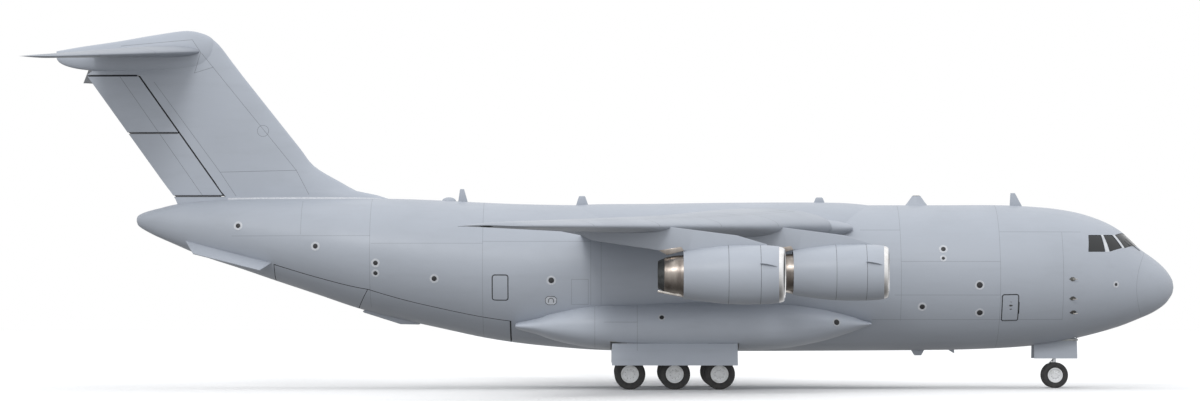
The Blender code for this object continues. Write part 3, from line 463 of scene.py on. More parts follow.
# Joints of the fuselage's panels in side view: x0, z0, x1, z1 of each straight line
hullSeams = {
    "lines": (
        (-6.46, 3.20, -6.46, 3.90), (-5.02, 1.70, -5.02, 3.95), (-0.454, 1.74, -0.454, 3.10),
        (-0.24, 1.74, -0.24, 3.10), (5.94, 1.42, 5.94, 3.80), (9.296, 1.44, 9.296, 3.245),
        (-7.91, 3.17, -5.01, 3.17), (-4.99, 3.01, -2.69, 3.01), (5.11, 3.287, 5.94, 3.287),
        (7.985, 3.25, 9.70, 3.25), (5.94, 2.633, 7.985, 2.633), (5.81, 1.943, 7.985, 1.943),
        (5.35, 1.437, 9.30, 1.437), (-0.85, 1.75, -0.85, 2.264), (-0.505, 1.75, -0.505, 2.264),
        (-0.85, 2.264, -0.505, 2.264), (-0.85, 1.75, -0.505, 1.75), (2.6, 1.75, 2.6, 3.0),
        (-2.69, 3.05, -0.454, 3.05), (7.985, 0.80, 7.985, 3.90), (-2.685, 1.05, -2.685, 3.95),
    ),
    "radome": ((10.877, 0.43, 2.1),),
    "halfWidth": 0.0045,
}
hullPaint = makePaint("hullPaint", makeSeamGroup("hullSeamLines", hullSeams["lines"], hullSeams["halfWidth"],
    curves=hullSeams["radome"]), seamPower=0.45)
plainPaint = makePaint("plainPaint")
# the cowls' paint is 8 % lighter than the fuselage's: painted light
cowlPaintPaintedLighter = makePaint("cowlPaintPaintedLighter", paintedLightFactor=1.08)
lining = makeGrained("holdLining", (0.30, 0.33, 0.30), (0.22, 0.25, 0.23), 0.8, scale=6, bump=0.3)
postWhite = makeGrained("windowFramePaint", (0.62, 0.64, 0.66), (0.50, 0.52, 0.55), 0.4, scale=12)
darkGlass = newMaterial("cockpitGlass", (0.016, 0.018, 0.019), 0.10,
    **{"Specular IOR Level": 0.5, "IOR": 1.5})
polishedLip = makeGrained("polishedLip", (0.86, 0.85, 0.84), (0.74, 0.72, 0.70), 0.14, 1.0,
    scale=5, bump=0.03)
heatMetal = makeGrained("heatTintedMetal", (0.42, 0.375, 0.335), (0.16, 0.135, 0.12), 0.34, 1.0, scale=5,
    low=0.38, high=0.70, bump=0.15, stretch=(1.0, 1.0, 0.35))
nozzleMetal = makeGrained("nozzleMetal", (0.11, 0.115, 0.115), (0.05, 0.052, 0.052), 0.45, 0.8, scale=9)
beamMetal = makeGrained("beamMetal", (0.72, 0.68, 0.63), (0.52, 0.48, 0.44), 0.25, 1.0, scale=8, bump=0.08)
fanMetal = makeGrained("fanMetal", (0.36, 0.36, 0.38), (0.26, 0.26, 0.28), 0.32, 0.9, scale=20, bump=0.05)
# near black for the insides of the ducts: painted shade of their depth
ductPaintedShade = makeGrained("ductPaintedShade", (0.05, 0.05, 0.055), (0.03, 0.03, 0.03), 0.7, scale=10)
gearWhite = makeGrained("gearWhite", (0.74, 0.75, 0.76), (0.58, 0.59, 0.58), 0.35, scale=9,
    low=0.5, high=0.75)
gearSteel = makeGrained("gearSteel", (0.62, 0.63, 0.65), (0.45, 0.46, 0.48), 0.2, 1.0, scale=20, bump=0.05)
gearBay = makeGrained("gearBay", (0.50, 0.51, 0.50), (0.34, 0.35, 0.34), 0.6, scale=7, bump=0.2)
spinnerPaint = makeGrained("spinnerPaint", (0.22, 0.225, 0.235), (0.15, 0.155, 0.16), 0.35, 0.3,
    scale=14, bump=0.05)
tyreRubber = makeGrained("tyreRubber", (0.028, 0.028, 0.029), (0.05, 0.048, 0.046), 0.78, scale=14, bump=0.35)
blackTrim = makeGrained("blackTrim", (0.02, 0.02, 0.022), (0.035, 0.035, 0.036), 0.55, scale=30)
# pale grey; on the sensors' rims and the fin's root fillet it is a painted highlight
sensorRim = makeGrained("sensorRim", (0.56, 0.58, 0.61), (0.46, 0.48, 0.52), 0.4, scale=30, bump=0.05)
probeMetal = makeGrained("probeMetal", (0.20, 0.20, 0.19), (0.09, 0.09, 0.085), 0.35, 0.9, scale=26, bump=0.1)
gapShade = makeGrained("gapShade", (0.022, 0.023, 0.025), (0.035, 0.036, 0.038), 0.9, scale=18)
rimRubber = makeGrained("rimRubber", (0.075, 0.08, 0.085), (0.05, 0.053, 0.056), 0.7, scale=20)
# dark grey for the intake's liner, which is light grey itself: painted shade
linerPaintedShade = makeGrained("intakeLinerPaintedShade", (0.13, 0.135, 0.14), (0.09, 0.093, 0.097), 0.5, scale=14, bump=0.1)
cabinGrey = makeGrained("cabinGrey", (0.16, 0.17, 0.18), (0.11, 0.12, 0.125), 0.65, scale=14, bump=0.2)
seatCloth = makeGrained("seatCloth", (0.09, 0.10, 0.085), (0.06, 0.065, 0.06), 0.9, scale=60, bump=0.5)
floorMetal = makeGrained("floorMetal", (0.34, 0.345, 0.35), (0.24, 0.245, 0.25), 0.5, 0.3, scale=7, bump=0.25)
print("finishes made")


# Fuselage skin

hull = {
    # x, crown z, belly z, half width, z of the widest level
    "sections": ((-9.973, 3.560, 3.470, 0.040, 3.515), (-9.800, 3.680, 3.300, 0.170, 3.50),
        (-9.490, 3.765, 3.143, 0.270, 3.47), (-9.160, 3.845, 3.000, 0.380, 3.43),
        (-8.650, 3.905, 2.783, 0.545, 3.37), (-7.810, 3.960, 2.505, 0.800, 3.24),
        (-6.980, 3.972, 2.221, 1.010, 3.09), (-6.140, 3.972, 1.942, 1.200, 2.95),
        (-5.300, 3.968, 1.659, 1.340, 2.81), (-4.460, 3.958, 1.441, 1.436, 2.69),
        (-3.620, 3.928, 1.256, 1.490, 2.57), (-2.697, 3.880, 1.056, 1.510, 2.45),
        (-1.940, 3.850, 0.939, 1.515, 2.38), (-1.100, 3.832, 0.853, 1.516, 2.34),
        (-0.260, 3.827, 0.795, 1.516, 2.32), (0.990, 3.827, 0.770, 1.516, 2.31),
        (6.870, 3.827, 0.795, 1.516, 2.31), (8.124, 3.827, 0.835, 1.50, 2.31),
        (8.960, 3.783, 0.902, 1.44, 2.30), (9.380, 3.735, 0.969, 1.36, 2.28),
        (9.800, 3.653, 1.063, 1.25, 2.27), (10.220, 3.513, 1.170, 1.11, 2.25),
        (10.420, 3.420, 1.230, 1.03, 2.24), (10.640, 3.284, 1.298, 0.93, 2.22),
        (10.840, 3.105, 1.375, 0.83, 2.20), (11.045, 2.910, 1.460, 0.71, 2.18),
        (11.270, 2.751, 1.556, 0.58, 2.16), (11.584, 2.477, 1.768, 0.32, 2.13),
        (11.680, 2.345, 1.895, 0.19, 2.12), (11.750, 2.135, 2.085, 0.025, 2.11),
    ),
    "wall": 0.06, "sides": 96, "rings": 150,
    "seams": {"radome": 11.045, "forward": 7.985, "rear": -2.697},
}
hullMiddle = (hull["sections"][0][0] + hull["sections"][-1][0]) / 2
hullHalf = (hull["sections"][-1][0] - hull["sections"][0][0]) / 2


def hullPhase(x):
    # an angle that stretches both ends, so that the nose and the tail come out round
    return math.asin(max(-1.0, min(1.0, (x - hullMiddle) / hullHalf)))


hullRows = [(hullPhase(row[0]), *row[1:]) for row in hull["sections"]]


def hullSection(x):
    phase = hullPhase(x)
    return [smoothValue(hullRows, phase, column) for column in (1, 2, 3, 4)]


def hullPoint(x, turn, inset=0.0):
    crown, belly, half, level = hullSection(x)
    rise = (crown - level if math.sin(turn) >= 0 else level - belly) - inset
    return Vector((x, (half - inset) * math.cos(turn), level + rise * math.sin(turn)))


def skinPoint(x, z, side):
    crown, belly, half, level = hullSection(x)
    rise = crown - level if z >= level else level - belly
    return Vector((x, side * half * math.sqrt(max(0.0, 1 - ((z - level) / rise) ** 2)), z))


def skinNormal(x, z, side, pointAt=skinPoint, step=0.02):
    ahead = pointAt(x + step, z, side) - pointAt(x - step, z, side)
    up = pointAt(x, z + step, side) - pointAt(x, z - step, side)
    normal = ahead.cross(up).normalized()
    return normal if normal.y * side > 0 else -normal


def hullStops(back, front):
    stops = [hullMiddle + hullHalf * math.sin(math.pi * (i / hull["rings"] - 0.5))
        for i in range(hull["rings"] + 1)]
    return [back] + [x for x in stops if back + 0.02 < x < front - 0.02] + [front]


def hullTube(name, back, front, inset=0.0, capped=False):
    return wrapGrid(name, hullStops(back, front), hull["sides"],
        lambda x, turn: hullPoint(x, turn, inset), capped)


def hullBand(name, back, front, inset, thickness):
    # a band round the fuselage, of even thickness
    return useModifier(hullTube(name, back, front, inset), "SOLIDIFY", thickness=thickness, offset=-1)


def hullShell(name, back, front):
    shell = hullTube(name, back, front)
    giveFinish(shell, hullPaint, lining, gapShade)
    return useModifier(shell, "SOLIDIFY", thickness=hull["wall"], offset=-1, material_offset=1,
        material_offset_rim=0)


tailEnd, noseEnd = hull["sections"][0][0], hull["sections"][-1][0]
shells = {
    "forward": hullShell("forwardShell", hull["seams"]["forward"], hull["seams"]["radome"]),
    "centre": hullShell("centreShell", hull["seams"]["rear"], hull["seams"]["forward"]),
    "rear": hullShell("rearShell", tailEnd, hull["seams"]["rear"]),
    "nose": hullShell("noseShell", hull["seams"]["radome"], noseEnd),
}
print("fuselage skins wrapped")

# Doors in the skin: shell, body and node, side, middle x, middle z, half length, half height, corner radius
sideDoors = (
    ("forward", "forward_hatch", -1, 8.195, 1.669, 0.170, 0.300, 0.045),
    ("centre", "rear_hatch_right", -1, -2.322, 2.090, 0.163, 0.267, 0.05),
    ("centre", "rear_hatch_left", 1, -2.322, 2.090, 0.163, 0.267, 0.05),
    ("forward", "crew_door", 1, 8.50, 1.845, 0.300, 0.500, 0.08),
)
doorGap, doorRim = 0.010, 0.012
doorGrooves = {"crew_door": (0.322, 0.024), "forward_hatch": (0.135, 0.021)}  # half length, radius


def doorCutter(name, x, z, side, halfLong, halfHigh, rounding):
    middle, outward = skinPoint(x, z, side), skinNormal(x, z, side)
    forward = Vector((1, 0, 0))
    up = outward.cross(forward)
    up = up if up.z > 0 else -up
    corners = [middle + forward * a * halfLong + up * b * halfHigh - outward * 0.45
        for a, b in ((-1, -1), (1, -1), (1, 1), (-1, 1))]
    return darkened(prismPiece(name, corners, outward * 0.60, rounding, 5), 2)


def makeSideDoors():
    for shell, name, side, x, z, halfLong, halfHigh, rounding in sideDoors:
        door = copyOf(shells[shell], name + "Skin")
        keepWithin(door, doorCutter("doorCut", x, z, side, halfLong, halfHigh, rounding))
        carve(shells[shell],
            doorCutter("openingCut", x, z, side, halfLong + doorGap, halfHigh + doorGap, rounding + doorGap))
        # dark rubber along the door's edge, a little proud of the skin
        rim = hullBand("rim", x - halfLong - 0.06, x + halfLong + 0.06, -0.0012, 0.010)
        for grow, operation in ((0.0, "INTERSECT"), (-doorRim, "DIFFERENCE")):
            carve(rim, doorCutter("rimCut", x, z, side, halfLong + grow, halfHigh + grow, rounding + grow),
                operation)
        giveFinish(rim, rimRubber)
        middle, axis = jointOf(name)
        reach = axis * (0.20 if name == "crew_door" else 0.06)
        barrel = giveFinish(rodPiece("barrel", middle - reach, middle + reach, 0.010), rimRubber)
        # a groove along the hinge, in which the door's edge turns
        if name in doorGrooves:
            reach, radius = axis * doorGrooves[name][0], doorGrooves[name][1]
            carve(shells[shell], darkened(rodPiece("groove", middle - reach, middle + reach, radius, 24), 2))
        finishPiece(joinPieces(name + "Skin", [door, barrel, rim]), name, "grey_paint", [name])


makeSideDoors()
print("side doors cut")

# Flight deck windows on one side: x, z of the corners on the skin
windows = {
    "panes": (
        ((9.863, 3.188), (10.140, 3.190), (10.203, 2.837), (9.836, 2.835)),
        ((10.190, 3.191), (10.394, 3.193), (10.588, 2.921), (10.302, 2.841)),
    ),
    # x, z of the two outer corners, and x of the two corners beside the middle post
    "windscreen": ((10.455, 3.193), (10.645, 2.915)), "middleX": (10.725, 11.015), "postHalf": 0.030,
    "rounding": 0.018,
}


def paneCorners(side):
    panes = [[skinPoint(x, z, side) for x, z in pane] for pane in windows["panes"]]
    outerTop, outerFoot = windows["windscreen"]
    innerTop, innerFoot = (Vector((x, windows["postHalf"] * side, hullSection(x)[0] - 0.004))
        for x in windows["middleX"])
    panes.append([skinPoint(*outerTop, side), innerTop, innerFoot, skinPoint(*outerFoot, side)])
    return panes


def paneCutter(name, corners, grow, rounding, inward=0.22, outward=0.16):
    middle = sum(corners, Vector()) / len(corners)
    normal = (corners[2] - corners[0]).cross(corners[3] - corners[1]).normalized()
    if normal.dot(middle - Vector((middle.x - 0.6, 0, 2.4))) < 0:
        normal = -normal
    grown = [corner + (corner - middle).normalized() * grow - normal * inward for corner in corners]
    return darkened(prismPiece(name, grown, normal * (inward + outward), rounding, 5), 2)


def makeWindows():
    glassParts, posts = [], []
    low, high = 9.70, hull["seams"]["radome"]
    for side in (-1, 1):
        panes = paneCorners(side)
        for corners in panes:
            carve(shells["forward"], paneCutter("paneCut", corners, 0, windows["rounding"]))
            glass = hullBand("glass", low, high, 0.010, 0.012)
            keepWithin(glass, paneCutter("glassCut", corners, 0.03, windows["rounding"]))
            glassParts.append(glass)
        # a white post stands between two panes, a little narrower than the paint there
        for rear, front in zip(panes, panes[1:]):
            quad = [rear[1].lerp(front[0], 0.12), rear[1].lerp(front[0], 0.88), rear[2].lerp(front[3], 0.88),
                    rear[2].lerp(front[3], 0.12)]
            post = hullBand("post", low, high, -0.004, 0.014)
            keepWithin(post, paneCutter("postCut", quad, 0.004, 0.004))
            posts.append(post)
    glass = giveFinish(joinPieces("cockpitPanes", glassParts), darkGlass)
    finishPiece(glass, "airframe", "cockpit_glass", ["cockpit_glazing"])
    finishPiece(giveFinish(joinPieces("windowPosts", posts), postWhite))


makeWindows()
print("flight deck windows glazed")

# Tail opening with its ramp and cargo door
tail = {
    "hingeX": -2.12, "hingeZ": 0.982, "barrel": 0.020, "rampHalf": 1.10, "doorHalf": 0.80, "doorEnd": -7.04,
    "splitX": -5.30, "splitZ": 1.664, "splitLean": 30, "gap": 0.012, "rampFloor": 1.26, "rampTailFloor": 1.86,
    # side view of the bumper under the ramp
    "skid": ((-5.24, 1.60), (-5.20, 1.575), (-4.90, 1.48), (-4.437, 1.334), (-4.04, 1.326), (-3.99, 1.40),
        (-4.40, 1.52), (-5.10, 1.70)),
    # root line and free edge of the strakes in side view
    "strakeRoot": ((-8.93, 3.085), (-7.08, 2.611)), "strakeEdge": ((-8.731, 2.800), (-7.312, 2.450)),
    "strakeReach": 0.30, "strakeThick": 0.03,
}


def tailRoom(name, slim):
    # the room of ramp and cargo door; slim narrows it for the doors themselves
    inside = slim > 0
    rows = ((tail["hingeX"] + (-0.010 if inside else 0.0203), tail["rampHalf"], 0.5, 2.20),
            (tail["splitX"] + 0.25, tail["rampHalf"], 0.7, 2.55),
            (tail["doorEnd"] + slim, tail["doorHalf"], 1.0, 2.95))
    corners = ((-1, 0), (1, 0), (1, 1), (-1, 1))

    def place(row, turn):
        x, half, low, high = row
        way, level = corners[round(turn / (math.pi / 2)) % 4]
        return Vector((x, way * (half - slim), high if level else low))
    return darkened(wrapGrid(name, list(reversed(rows)), 4, place), 2)


def splitBlock(name, side):
    lean = math.tan(math.radians(tail["splitLean"]))
    shift = side * tail["gap"] / 2 / math.cos(math.radians(tail["splitLean"]))
    low, high = 0.3, 3.2
    far = 0.0 if side > 0 else -9.0
    foot, top = (tail["splitX"] + (z - tail["splitZ"]) * lean + shift for z in (low, high))
    return darkened(sidePrism(name, ((far, low), (far, high), (top, high), (foot, low)), -2, 4), 2)


def makeTailDoors():
    for shell in ("centre", "rear"):
        carve(shells[shell], tailRoom("tailCut", 0))
    ramp = giveFinish(hullTube("rampSkin", -7.81, -0.26, capped=True), hullPaint, floorMetal, gapShade)
    keepWithin(ramp, tailRoom("rampRoom", tail["gap"]))
    keepWithin(ramp, splitBlock("before", 1))
    hollow = hullTube("hollow", -8.65, 0.99, hull["wall"], capped=True)
    line = ((0.0, tail["rampFloor"]), (tail["hingeX"], tail["rampFloor"]), (-5.0, tail["rampTailFloor"]),
        (-8, 2.2), (-8, 4.2), (0.0, 4.2))
    keepWithin(hollow, sidePrism("above", line, -2, 4))
    carve(ramp, giveFinish(hollow, floorMetal))
    barrel = rodPiece("barrel", (tail["hingeX"], -0.25, tail["hingeZ"]),
        (tail["hingeX"], 0.25, tail["hingeZ"]), tail["barrel"])
    giveFinish(barrel, hullPaint)
    skid = sidePrism("skid", tail["skid"], -0.10, 0.20)
    bevelEdges(skid, 0.03, 4, angle_limit=math.radians(40))
    giveFinish(skid, plainPaint)
    # a near-black seal in the gap ahead of the ramp, on both sides of the barrel; its finish is the painted
    # shade of the gaps
    seal = hullBand("seal", tail["hingeX"] - 0.015, tail["hingeX"] + 0.0165, 0.004, 0.014)
    wide, inner = tail["rampHalf"] - tail["gap"], 0.27
    keepWithin(seal, boxPiece("sealEnds", (-3, -wide, 0), (0, wide, 2.0)))
    carve(seal, boxPiece("sealMiddle", (-3, -inner, 0), (0, inner, 2.0)))
    giveFinish(seal, gapShade)
    finishPiece(joinPieces("rampSkin", [ramp, barrel, skid, seal]), "ramp", "grey_paint", ["ramp"])

    door = hullShell("cargoDoorSkin", -8.65, -1.10)
    keepWithin(door, tailRoom("doorRoom", tail["gap"]))
    keepWithin(door, splitBlock("behind", -1))
    hinge = jointOf("cargo_door")[0]
    pins = []
    for side in (-1, 1):
        inner, outer = ((hinge.x, side * y, hinge.z) for y in (0.72, 0.8018))
        pins.append(giveFinish(rodPiece("pin", inner, outer, 0.008), gearSteel))
    finishPiece(joinPieces("cargoDoorSkin", [door, *pins]), "cargo_door", "grey_paint", ["cargo_door"])


makeTailDoors()


def strakeSkin(side):
    # a thin plate whose root is sunk in the tail's wall, with rounded edges
    corners = [skinPoint(x, z, side) - Vector((0, side * 0.03, 0)) for x, z in tail["strakeRoot"]]
    for (x, z), root in zip(reversed(tail["strakeEdge"]), (corners[1], corners[0])):
        corners.append(Vector((x, root.y + side * tail["strakeReach"], z)))
    normal = (corners[1] - corners[0]).cross(corners[3] - corners[0]).normalized()
    across = normal * tail["strakeThick"] / 2
    plate = prismPiece("strake", [corner - across for corner in corners], across * 2)
    return giveFinish(bevelEdges(plate, 0.009, 3), plainPaint)


shells["rear"] = joinPieces("rearShell", [shells["rear"], strakeSkin(-1), strakeSkin(1)])

noseWell = {"low": (8.78, -0.27, 0.60), "high": (9.72, 0.27, 1.20)}
carve(shells["forward"], boxPiece("noseWellCut", noseWell["low"], noseWell["high"]))
for shellName, node in (("forward", "forward_fuselage"), ("centre", "centre_fuselage"),
        ("rear", "rear_fuselage"), ("nose", "radome")):
    finishPiece(shells[shellName], "airframe", "radome_paint" if node == "radome" else "grey_paint", [node])
print("fuselage finished")

# Wings, their centre fairing and the tail surfaces

def phaseTable(rows):
    # the table with its first column as an angle that stretches both ends, and the way back to lengths
    low, high = rows[0][0], rows[-1][0]
    middle, half = (low + high) / 2, (high - low) / 2
    turned = [(math.asin(max(-1.0, min(1.0, (row[0] - middle) / half))), *row[1:]) for row in rows]
    return turned, lambda phase: middle + half * math.sin(phase)


def roundBody(name, rows, rings, sides, ring):
    # a body with round ends through a table of sections: ring(x, values, turn) gives the points of one
    turned, lengthAt = phaseTable(rows)

    def place(phase, turn):
        values = [smoothValue(turned, phase, column) for column in range(1, len(rows[0]))]
        return ring(lengthAt(phase), values, turn)
    return wrapGrid(name, spread(-math.pi / 2, math.pi / 2, rings + 1), sides, place)


def foilHeights(share, thickness, camber=0.0):
    # top and bottom of an aerofoil at a share of its chord
    share = min(1.0, max(0.0, share))
    half = 5 * thickness * (0.2969 * math.sqrt(share) - 0.126 * share - 0.3516 * share**2 + 0.2843 * share**3
        - 0.1015 * share**4)
    middle = 4 * camber * share * (1 - share)
    return middle + half, middle - half


def foilPoint(turn, sides, thickness, camber=0.0):
    # from the middle of the blunt trailing edge over the top, round the nose and back below
    step = round(turn / (2 * math.pi) * sides) % sides
    if step == 0:
        return 1.0, 0.0
    around = 2 * math.pi * (step - 1) / (sides - 2)
    share = 0.5 + 0.5 * math.cos(around)
    return share, foilHeights(share, thickness, camber)[0 if around <= math.pi else 1]


wing = {
    # x, half width, half height of the gloves that lead the wing roots into the fuselage, with their y and z
    "glove": ((2.40, 0.06, 0.03), (3.10, 0.24, 0.14), (3.90, 0.35, 0.19), (4.45, 0.34, 0.17),
        (4.80, 0.24, 0.11), (4.96, 0.02, 0.01)), "gloveY": 1.17, "gloveZ": 3.325,
    # y, leading edge x, trailing edge x, leading edge z, trailing edge z, thickness over chord
    "sections": ((1.57, 4.496, -0.663, 3.36, 3.18, 0.135), (4.97, 2.579, -1.040, 3.29, 3.20, 0.115),
        (12.5, -1.564, -2.760, 3.162, 3.160, 0.100)),
    "camber": 0.018, "sides": 76, "tipStart": 12.32,
    "flapShare": 0.76, "flapSpan": (1.75, 8.40), "flapGap": 0.006,
    "aileronSpan": (8.50, 12.10), "endGap": 0.016,
    # x, top z, half width of the hump over the centre
    "hump": ((-1.20, 3.70, 0.70), (-0.60, 3.835, 1.00), (0.80, 3.855, 1.30), (2.60, 3.880, 1.35),
        (4.60, 3.880, 1.20), (5.20, 3.845, 0.95), (5.75, 3.70, 0.70)),
}
# Seams of the wings, from 0 to 1 along the span and round the section: top to 0.5, then below
wingSeams = [(u, 0.212, u, 0.373) for u in (0.10, 0.22, 0.34, 0.46, 0.58, 0.70, 0.82)]
wingSeams += [(u, 0.387, u, 0.5) for u in (0.18, 0.36, 0.54, 0.72, 0.88)]
wingSeams += [(u, 0.62, u, 0.98) for u in (0.16, 0.34, 0.52, 0.70, 0.86)]
wingSeams += [(0.02, 0.387, 0.96, 0.387), (0.02, 0.373, 0.96, 0.373), (0.0, 0.212, 0.96, 0.212),
    (0.06, 0.60, 0.96, 0.60), (0.0, 0.80, 0.96, 0.80), (0.12, 0.255, 0.60, 0.255), (0.96, 0.02, 0.96, 0.98)]
# the wings' paint is 7 % darker than the fuselage's: painted shade
wingPaintPaintedDarker = makePaint("wingPaintPaintedDarker", makeSeamGroup("wingSeamLines", wingSeams, 0.0009), readsUv=True, paintedLightFactor=0.93,
    seamPower=0.5)


def wingRow(y):
    return [straightValue(wing["sections"], y, column) for column in range(1, 6)]


def wingPoint(y, turn):
    front, back, frontZ, backZ, thick = wingRow(y)
    if y > wing["tipStart"]:
        past = (y - wing["tipStart"]) / (wing["sections"][-1][0] - wing["tipStart"])
        full = max(0.06, math.sqrt(1 - past**2))
        front, thick = front - (1 - full) * 0.30, thick * full
    chord = front - back
    share, height = foilPoint(turn, wing["sides"], thick, wing["camber"])
    return Vector((front - share * chord, -y, frontZ + (backZ - frontZ) * share + height * chord))


def wingSkins(point):
    front, back, frontZ, backZ, thick = wingRow(abs(point.y))
    share = (front - point.x) / (front - back)
    base = frontZ + (backZ - frontZ) * share
    return [base + height * (front - back) for height in foilHeights(share, thick, wing["camber"])]


def wholeWing(name):
    root, kink, tip = (row[0] for row in wing["sections"])
    start = wing["tipStart"]
    stops = spread(root, kink, 13) + spread(kink, start, 25)[1:]
    stops += [start + (tip - start) * t for t in (0.35, 0.62, 0.82, 0.94, 1.0)]
    return wrapGrid(name, stops, wing["sides"], wingPoint)


def chordX(y, share):
    front, back = wingRow(y)[:2]
    return front + (back - front) * share


def flapBlock(name, grow):
    low, high = wing["flapSpan"][0] - grow, wing["flapSpan"][1] + grow
    corners = [Vector((chordX(y, wing["flapShare"]) + grow, -y, 2))
        for y in (low, wing["sections"][1][0], high)]
    corners += [Vector((chordX(high, 1.0) - 0.5, -high, 2)), Vector((chordX(low, 1.0) - 0.5, -low, 2))]
    return darkened(prismPiece(name, corners, (0, 0, 3)))


# Hinged panels of the wings and the tail

hinged = {"noseGap": 0.008, "noseSink": 0.001, "pin": 0.009, "facets": 18, "steps": 10}


def hingeEnds(body, far, across):
    start, axis = jointOf(body)
    return start, start + axis * ((far - start[across]) / axis[across])


def behindBlock(ends, gaps, across):
    # all that lies behind a hinge line, past both ends by the gaps
    line = ends[1] - ends[0]
    near = ends[0] - line * gaps[0] / abs(line[across])
    far = ends[1] + line * gaps[1] / abs(line[across])
    corners = [near, far, far.copy(), near.copy()]
    corners[2].x = corners[3].x = -12.8
    rise = 3 - across
    for corner in corners:
        corner[rise] = 2 if across == 1 else -1
    return darkened(prismPiece("behind", corners, (0, 0, 6) if across == 1 else (0, 2, 0)))


def noseRoom(ends, skins, gaps, across, grow):
    # a half round nose ahead of a hinge line, as thick as the surface is there; its faces carry the painted
    # shade of the gap
    rise = 3 - across
    line = ends[1] - ends[0]
    stretch = line.length / abs(line[across])
    before, after = (gap / abs(line[across]) for gap in gaps)
    shares = [-before] + spread(0, 1, hinged["steps"])[1:-1] + [1 + after]
    sides = hinged["facets"] + 3

    def place(share, turn):
        centre = ends[0] + line * share
        over, under = skins(ends[0] + line * min(1.0, max(0.0, share)))
        full = max(over - centre[rise], centre[rise] - under) + grow
        step = round(turn / (2 * math.pi) * sides) % sides
        if step <= hinged["facets"]:
            angle = math.pi * (step / hinged["facets"] - 0.5)
            centre.x += full * math.cos(angle) * stretch
            centre[rise] += full * math.sin(angle)
        else:
            centre.x -= 0.010
            centre[rise] += (full - 0.004) * (1 if step == hinged["facets"] + 1 else -1)
        return centre
    return darkened(wrapGrid("noseRoom", shares, sides, place))


def takePanel(name, surface, ends, skins, across):
    panel = copyOf(surface, name)
    keepWithin(panel, behindBlock(ends, (0, 0), across))
    return carve(panel, noseRoom(ends, skins, (0, 0), across, -hinged["noseSink"]), "UNION")


def openRoom(surface, ends, skins, gaps, across):
    carve(surface, behindBlock(ends, gaps, across))
    carve(surface, noseRoom(ends, skins, gaps, across, hinged["noseGap"]))


def withPins(panel, ends, reaches):
    along = (ends[1] - ends[0]).normalized()
    # the pins are near black, painted shade where they show in the gaps
    pins = [giveFinish(rodPiece("pin", end - way * 0.05, end + way * reach, hinged["pin"], 12), gapShade)
            for end, way, reach in zip(ends, (-along, along), reaches) if reach > 0]
    return joinPieces(panel.name, [panel, *pins])


def paintAndGapShade(piece, paintUsed):
    # outside paint and the painted shade of the gaps, which cutters leave on what they cut
    return giveFinish(piece, paintUsed, gapShade)


wholeHull = hullTube("wholeHull", tailEnd, noseEnd, -0.0003, capped=True)


def makeWings():
    right = paintAndGapShade(wholeWing("wingRight"), wingPaintPaintedDarker)
    pylonCutter = copyOf(right, "wingForPylons")
    flap = keepWithin(copyOf(right, "flapRight"), flapBlock("flapPlan", 0))
    carve(right, flapBlock("flapRoom", wing["flapGap"]))
    ends = hingeEnds("aileron_right", -wing["aileronSpan"][1], 1)
    aileron = takePanel("aileronRight", right, ends, wingSkins, 1)
    gap = wing["endGap"]
    openRoom(right, ends, wingSkins, (gap, gap), 1)
    withPins(aileron, ends, (gap - 0.004, gap - 0.004))
    for piece, word in ((right, "wing"), (flap, "flap"), (aileron, "aileron")):
        finishBothSides(piece, word + "Left", word, moves=piece is aileron)

    root = wing["sections"][0][0] - 0.0003
    fairing = wrapGrid("wingFairing", [-root, root], wing["sides"],
        lambda y, turn: Vector((*wingPoint(root, turn).xz, y)).xzy)

    def ring(x, values, turn):
        top, half = values
        rise = top - 3.0 if math.sin(turn) >= 0 else 0.25
        return Vector((x, half * math.copysign(abs(math.cos(turn)) ** 0.9, math.cos(turn)),
            3.0 + rise * math.copysign(abs(math.sin(turn)) ** 0.9, math.sin(turn))))
    carve(fairing, roundBody("hump", wing["hump"], 60, 72, ring), "UNION")
    for side in (-1, 1):
        glove = roundBody("glove", wing["glove"], 40, 48, lambda x, values, turn: Vector((x,
            side * wing["gloveY"] + values[0] * math.cos(turn), wing["gloveZ"] + values[1] * math.sin(turn))))
        carve(fairing, glove, "UNION")
    carve(fairing, wholeHull, keepCutter=True)
    finishPiece(giveFinish(fairing, plainPaint), "airframe", "grey_paint", ["wing_fairing"])
    return pylonCutter


pylonCutter = makeWings()
print("wings made")

fin = {
    # z, leading edge x, trailing edge x, thickness
    "sections": ((3.60, -4.30, -9.02, 0.36), (3.985, -4.72, -9.18, 0.34), (4.083, -5.255, -9.25, 0.33),
        (4.320, -5.716, -9.43, 0.32), (4.653, -6.266, -9.67, 0.31), (6.557, -7.776, -11.040, 0.28)),
    "sides": 64, "shadeStripHigh": 0.0133, "shadeStripHalf": 0.004,
    "lowerRudderTop": 5.326, "upperRudderTop": 6.530, "footGap": 0.028,
    # z, leading edge x, trailing edge x, thickness of the rounded tip under the bullet
    "tip": ((6.5573, -7.776, -11.04, 0.28), (6.90, -8.035, -10.55, 0.265), (7.10, -8.185, -10.20, 0.24),
        (7.22, -8.29, -9.90, 0.20), (7.32, -8.41, -9.55, 0.15), (7.395, -8.55, -9.30, 0.08)),
}
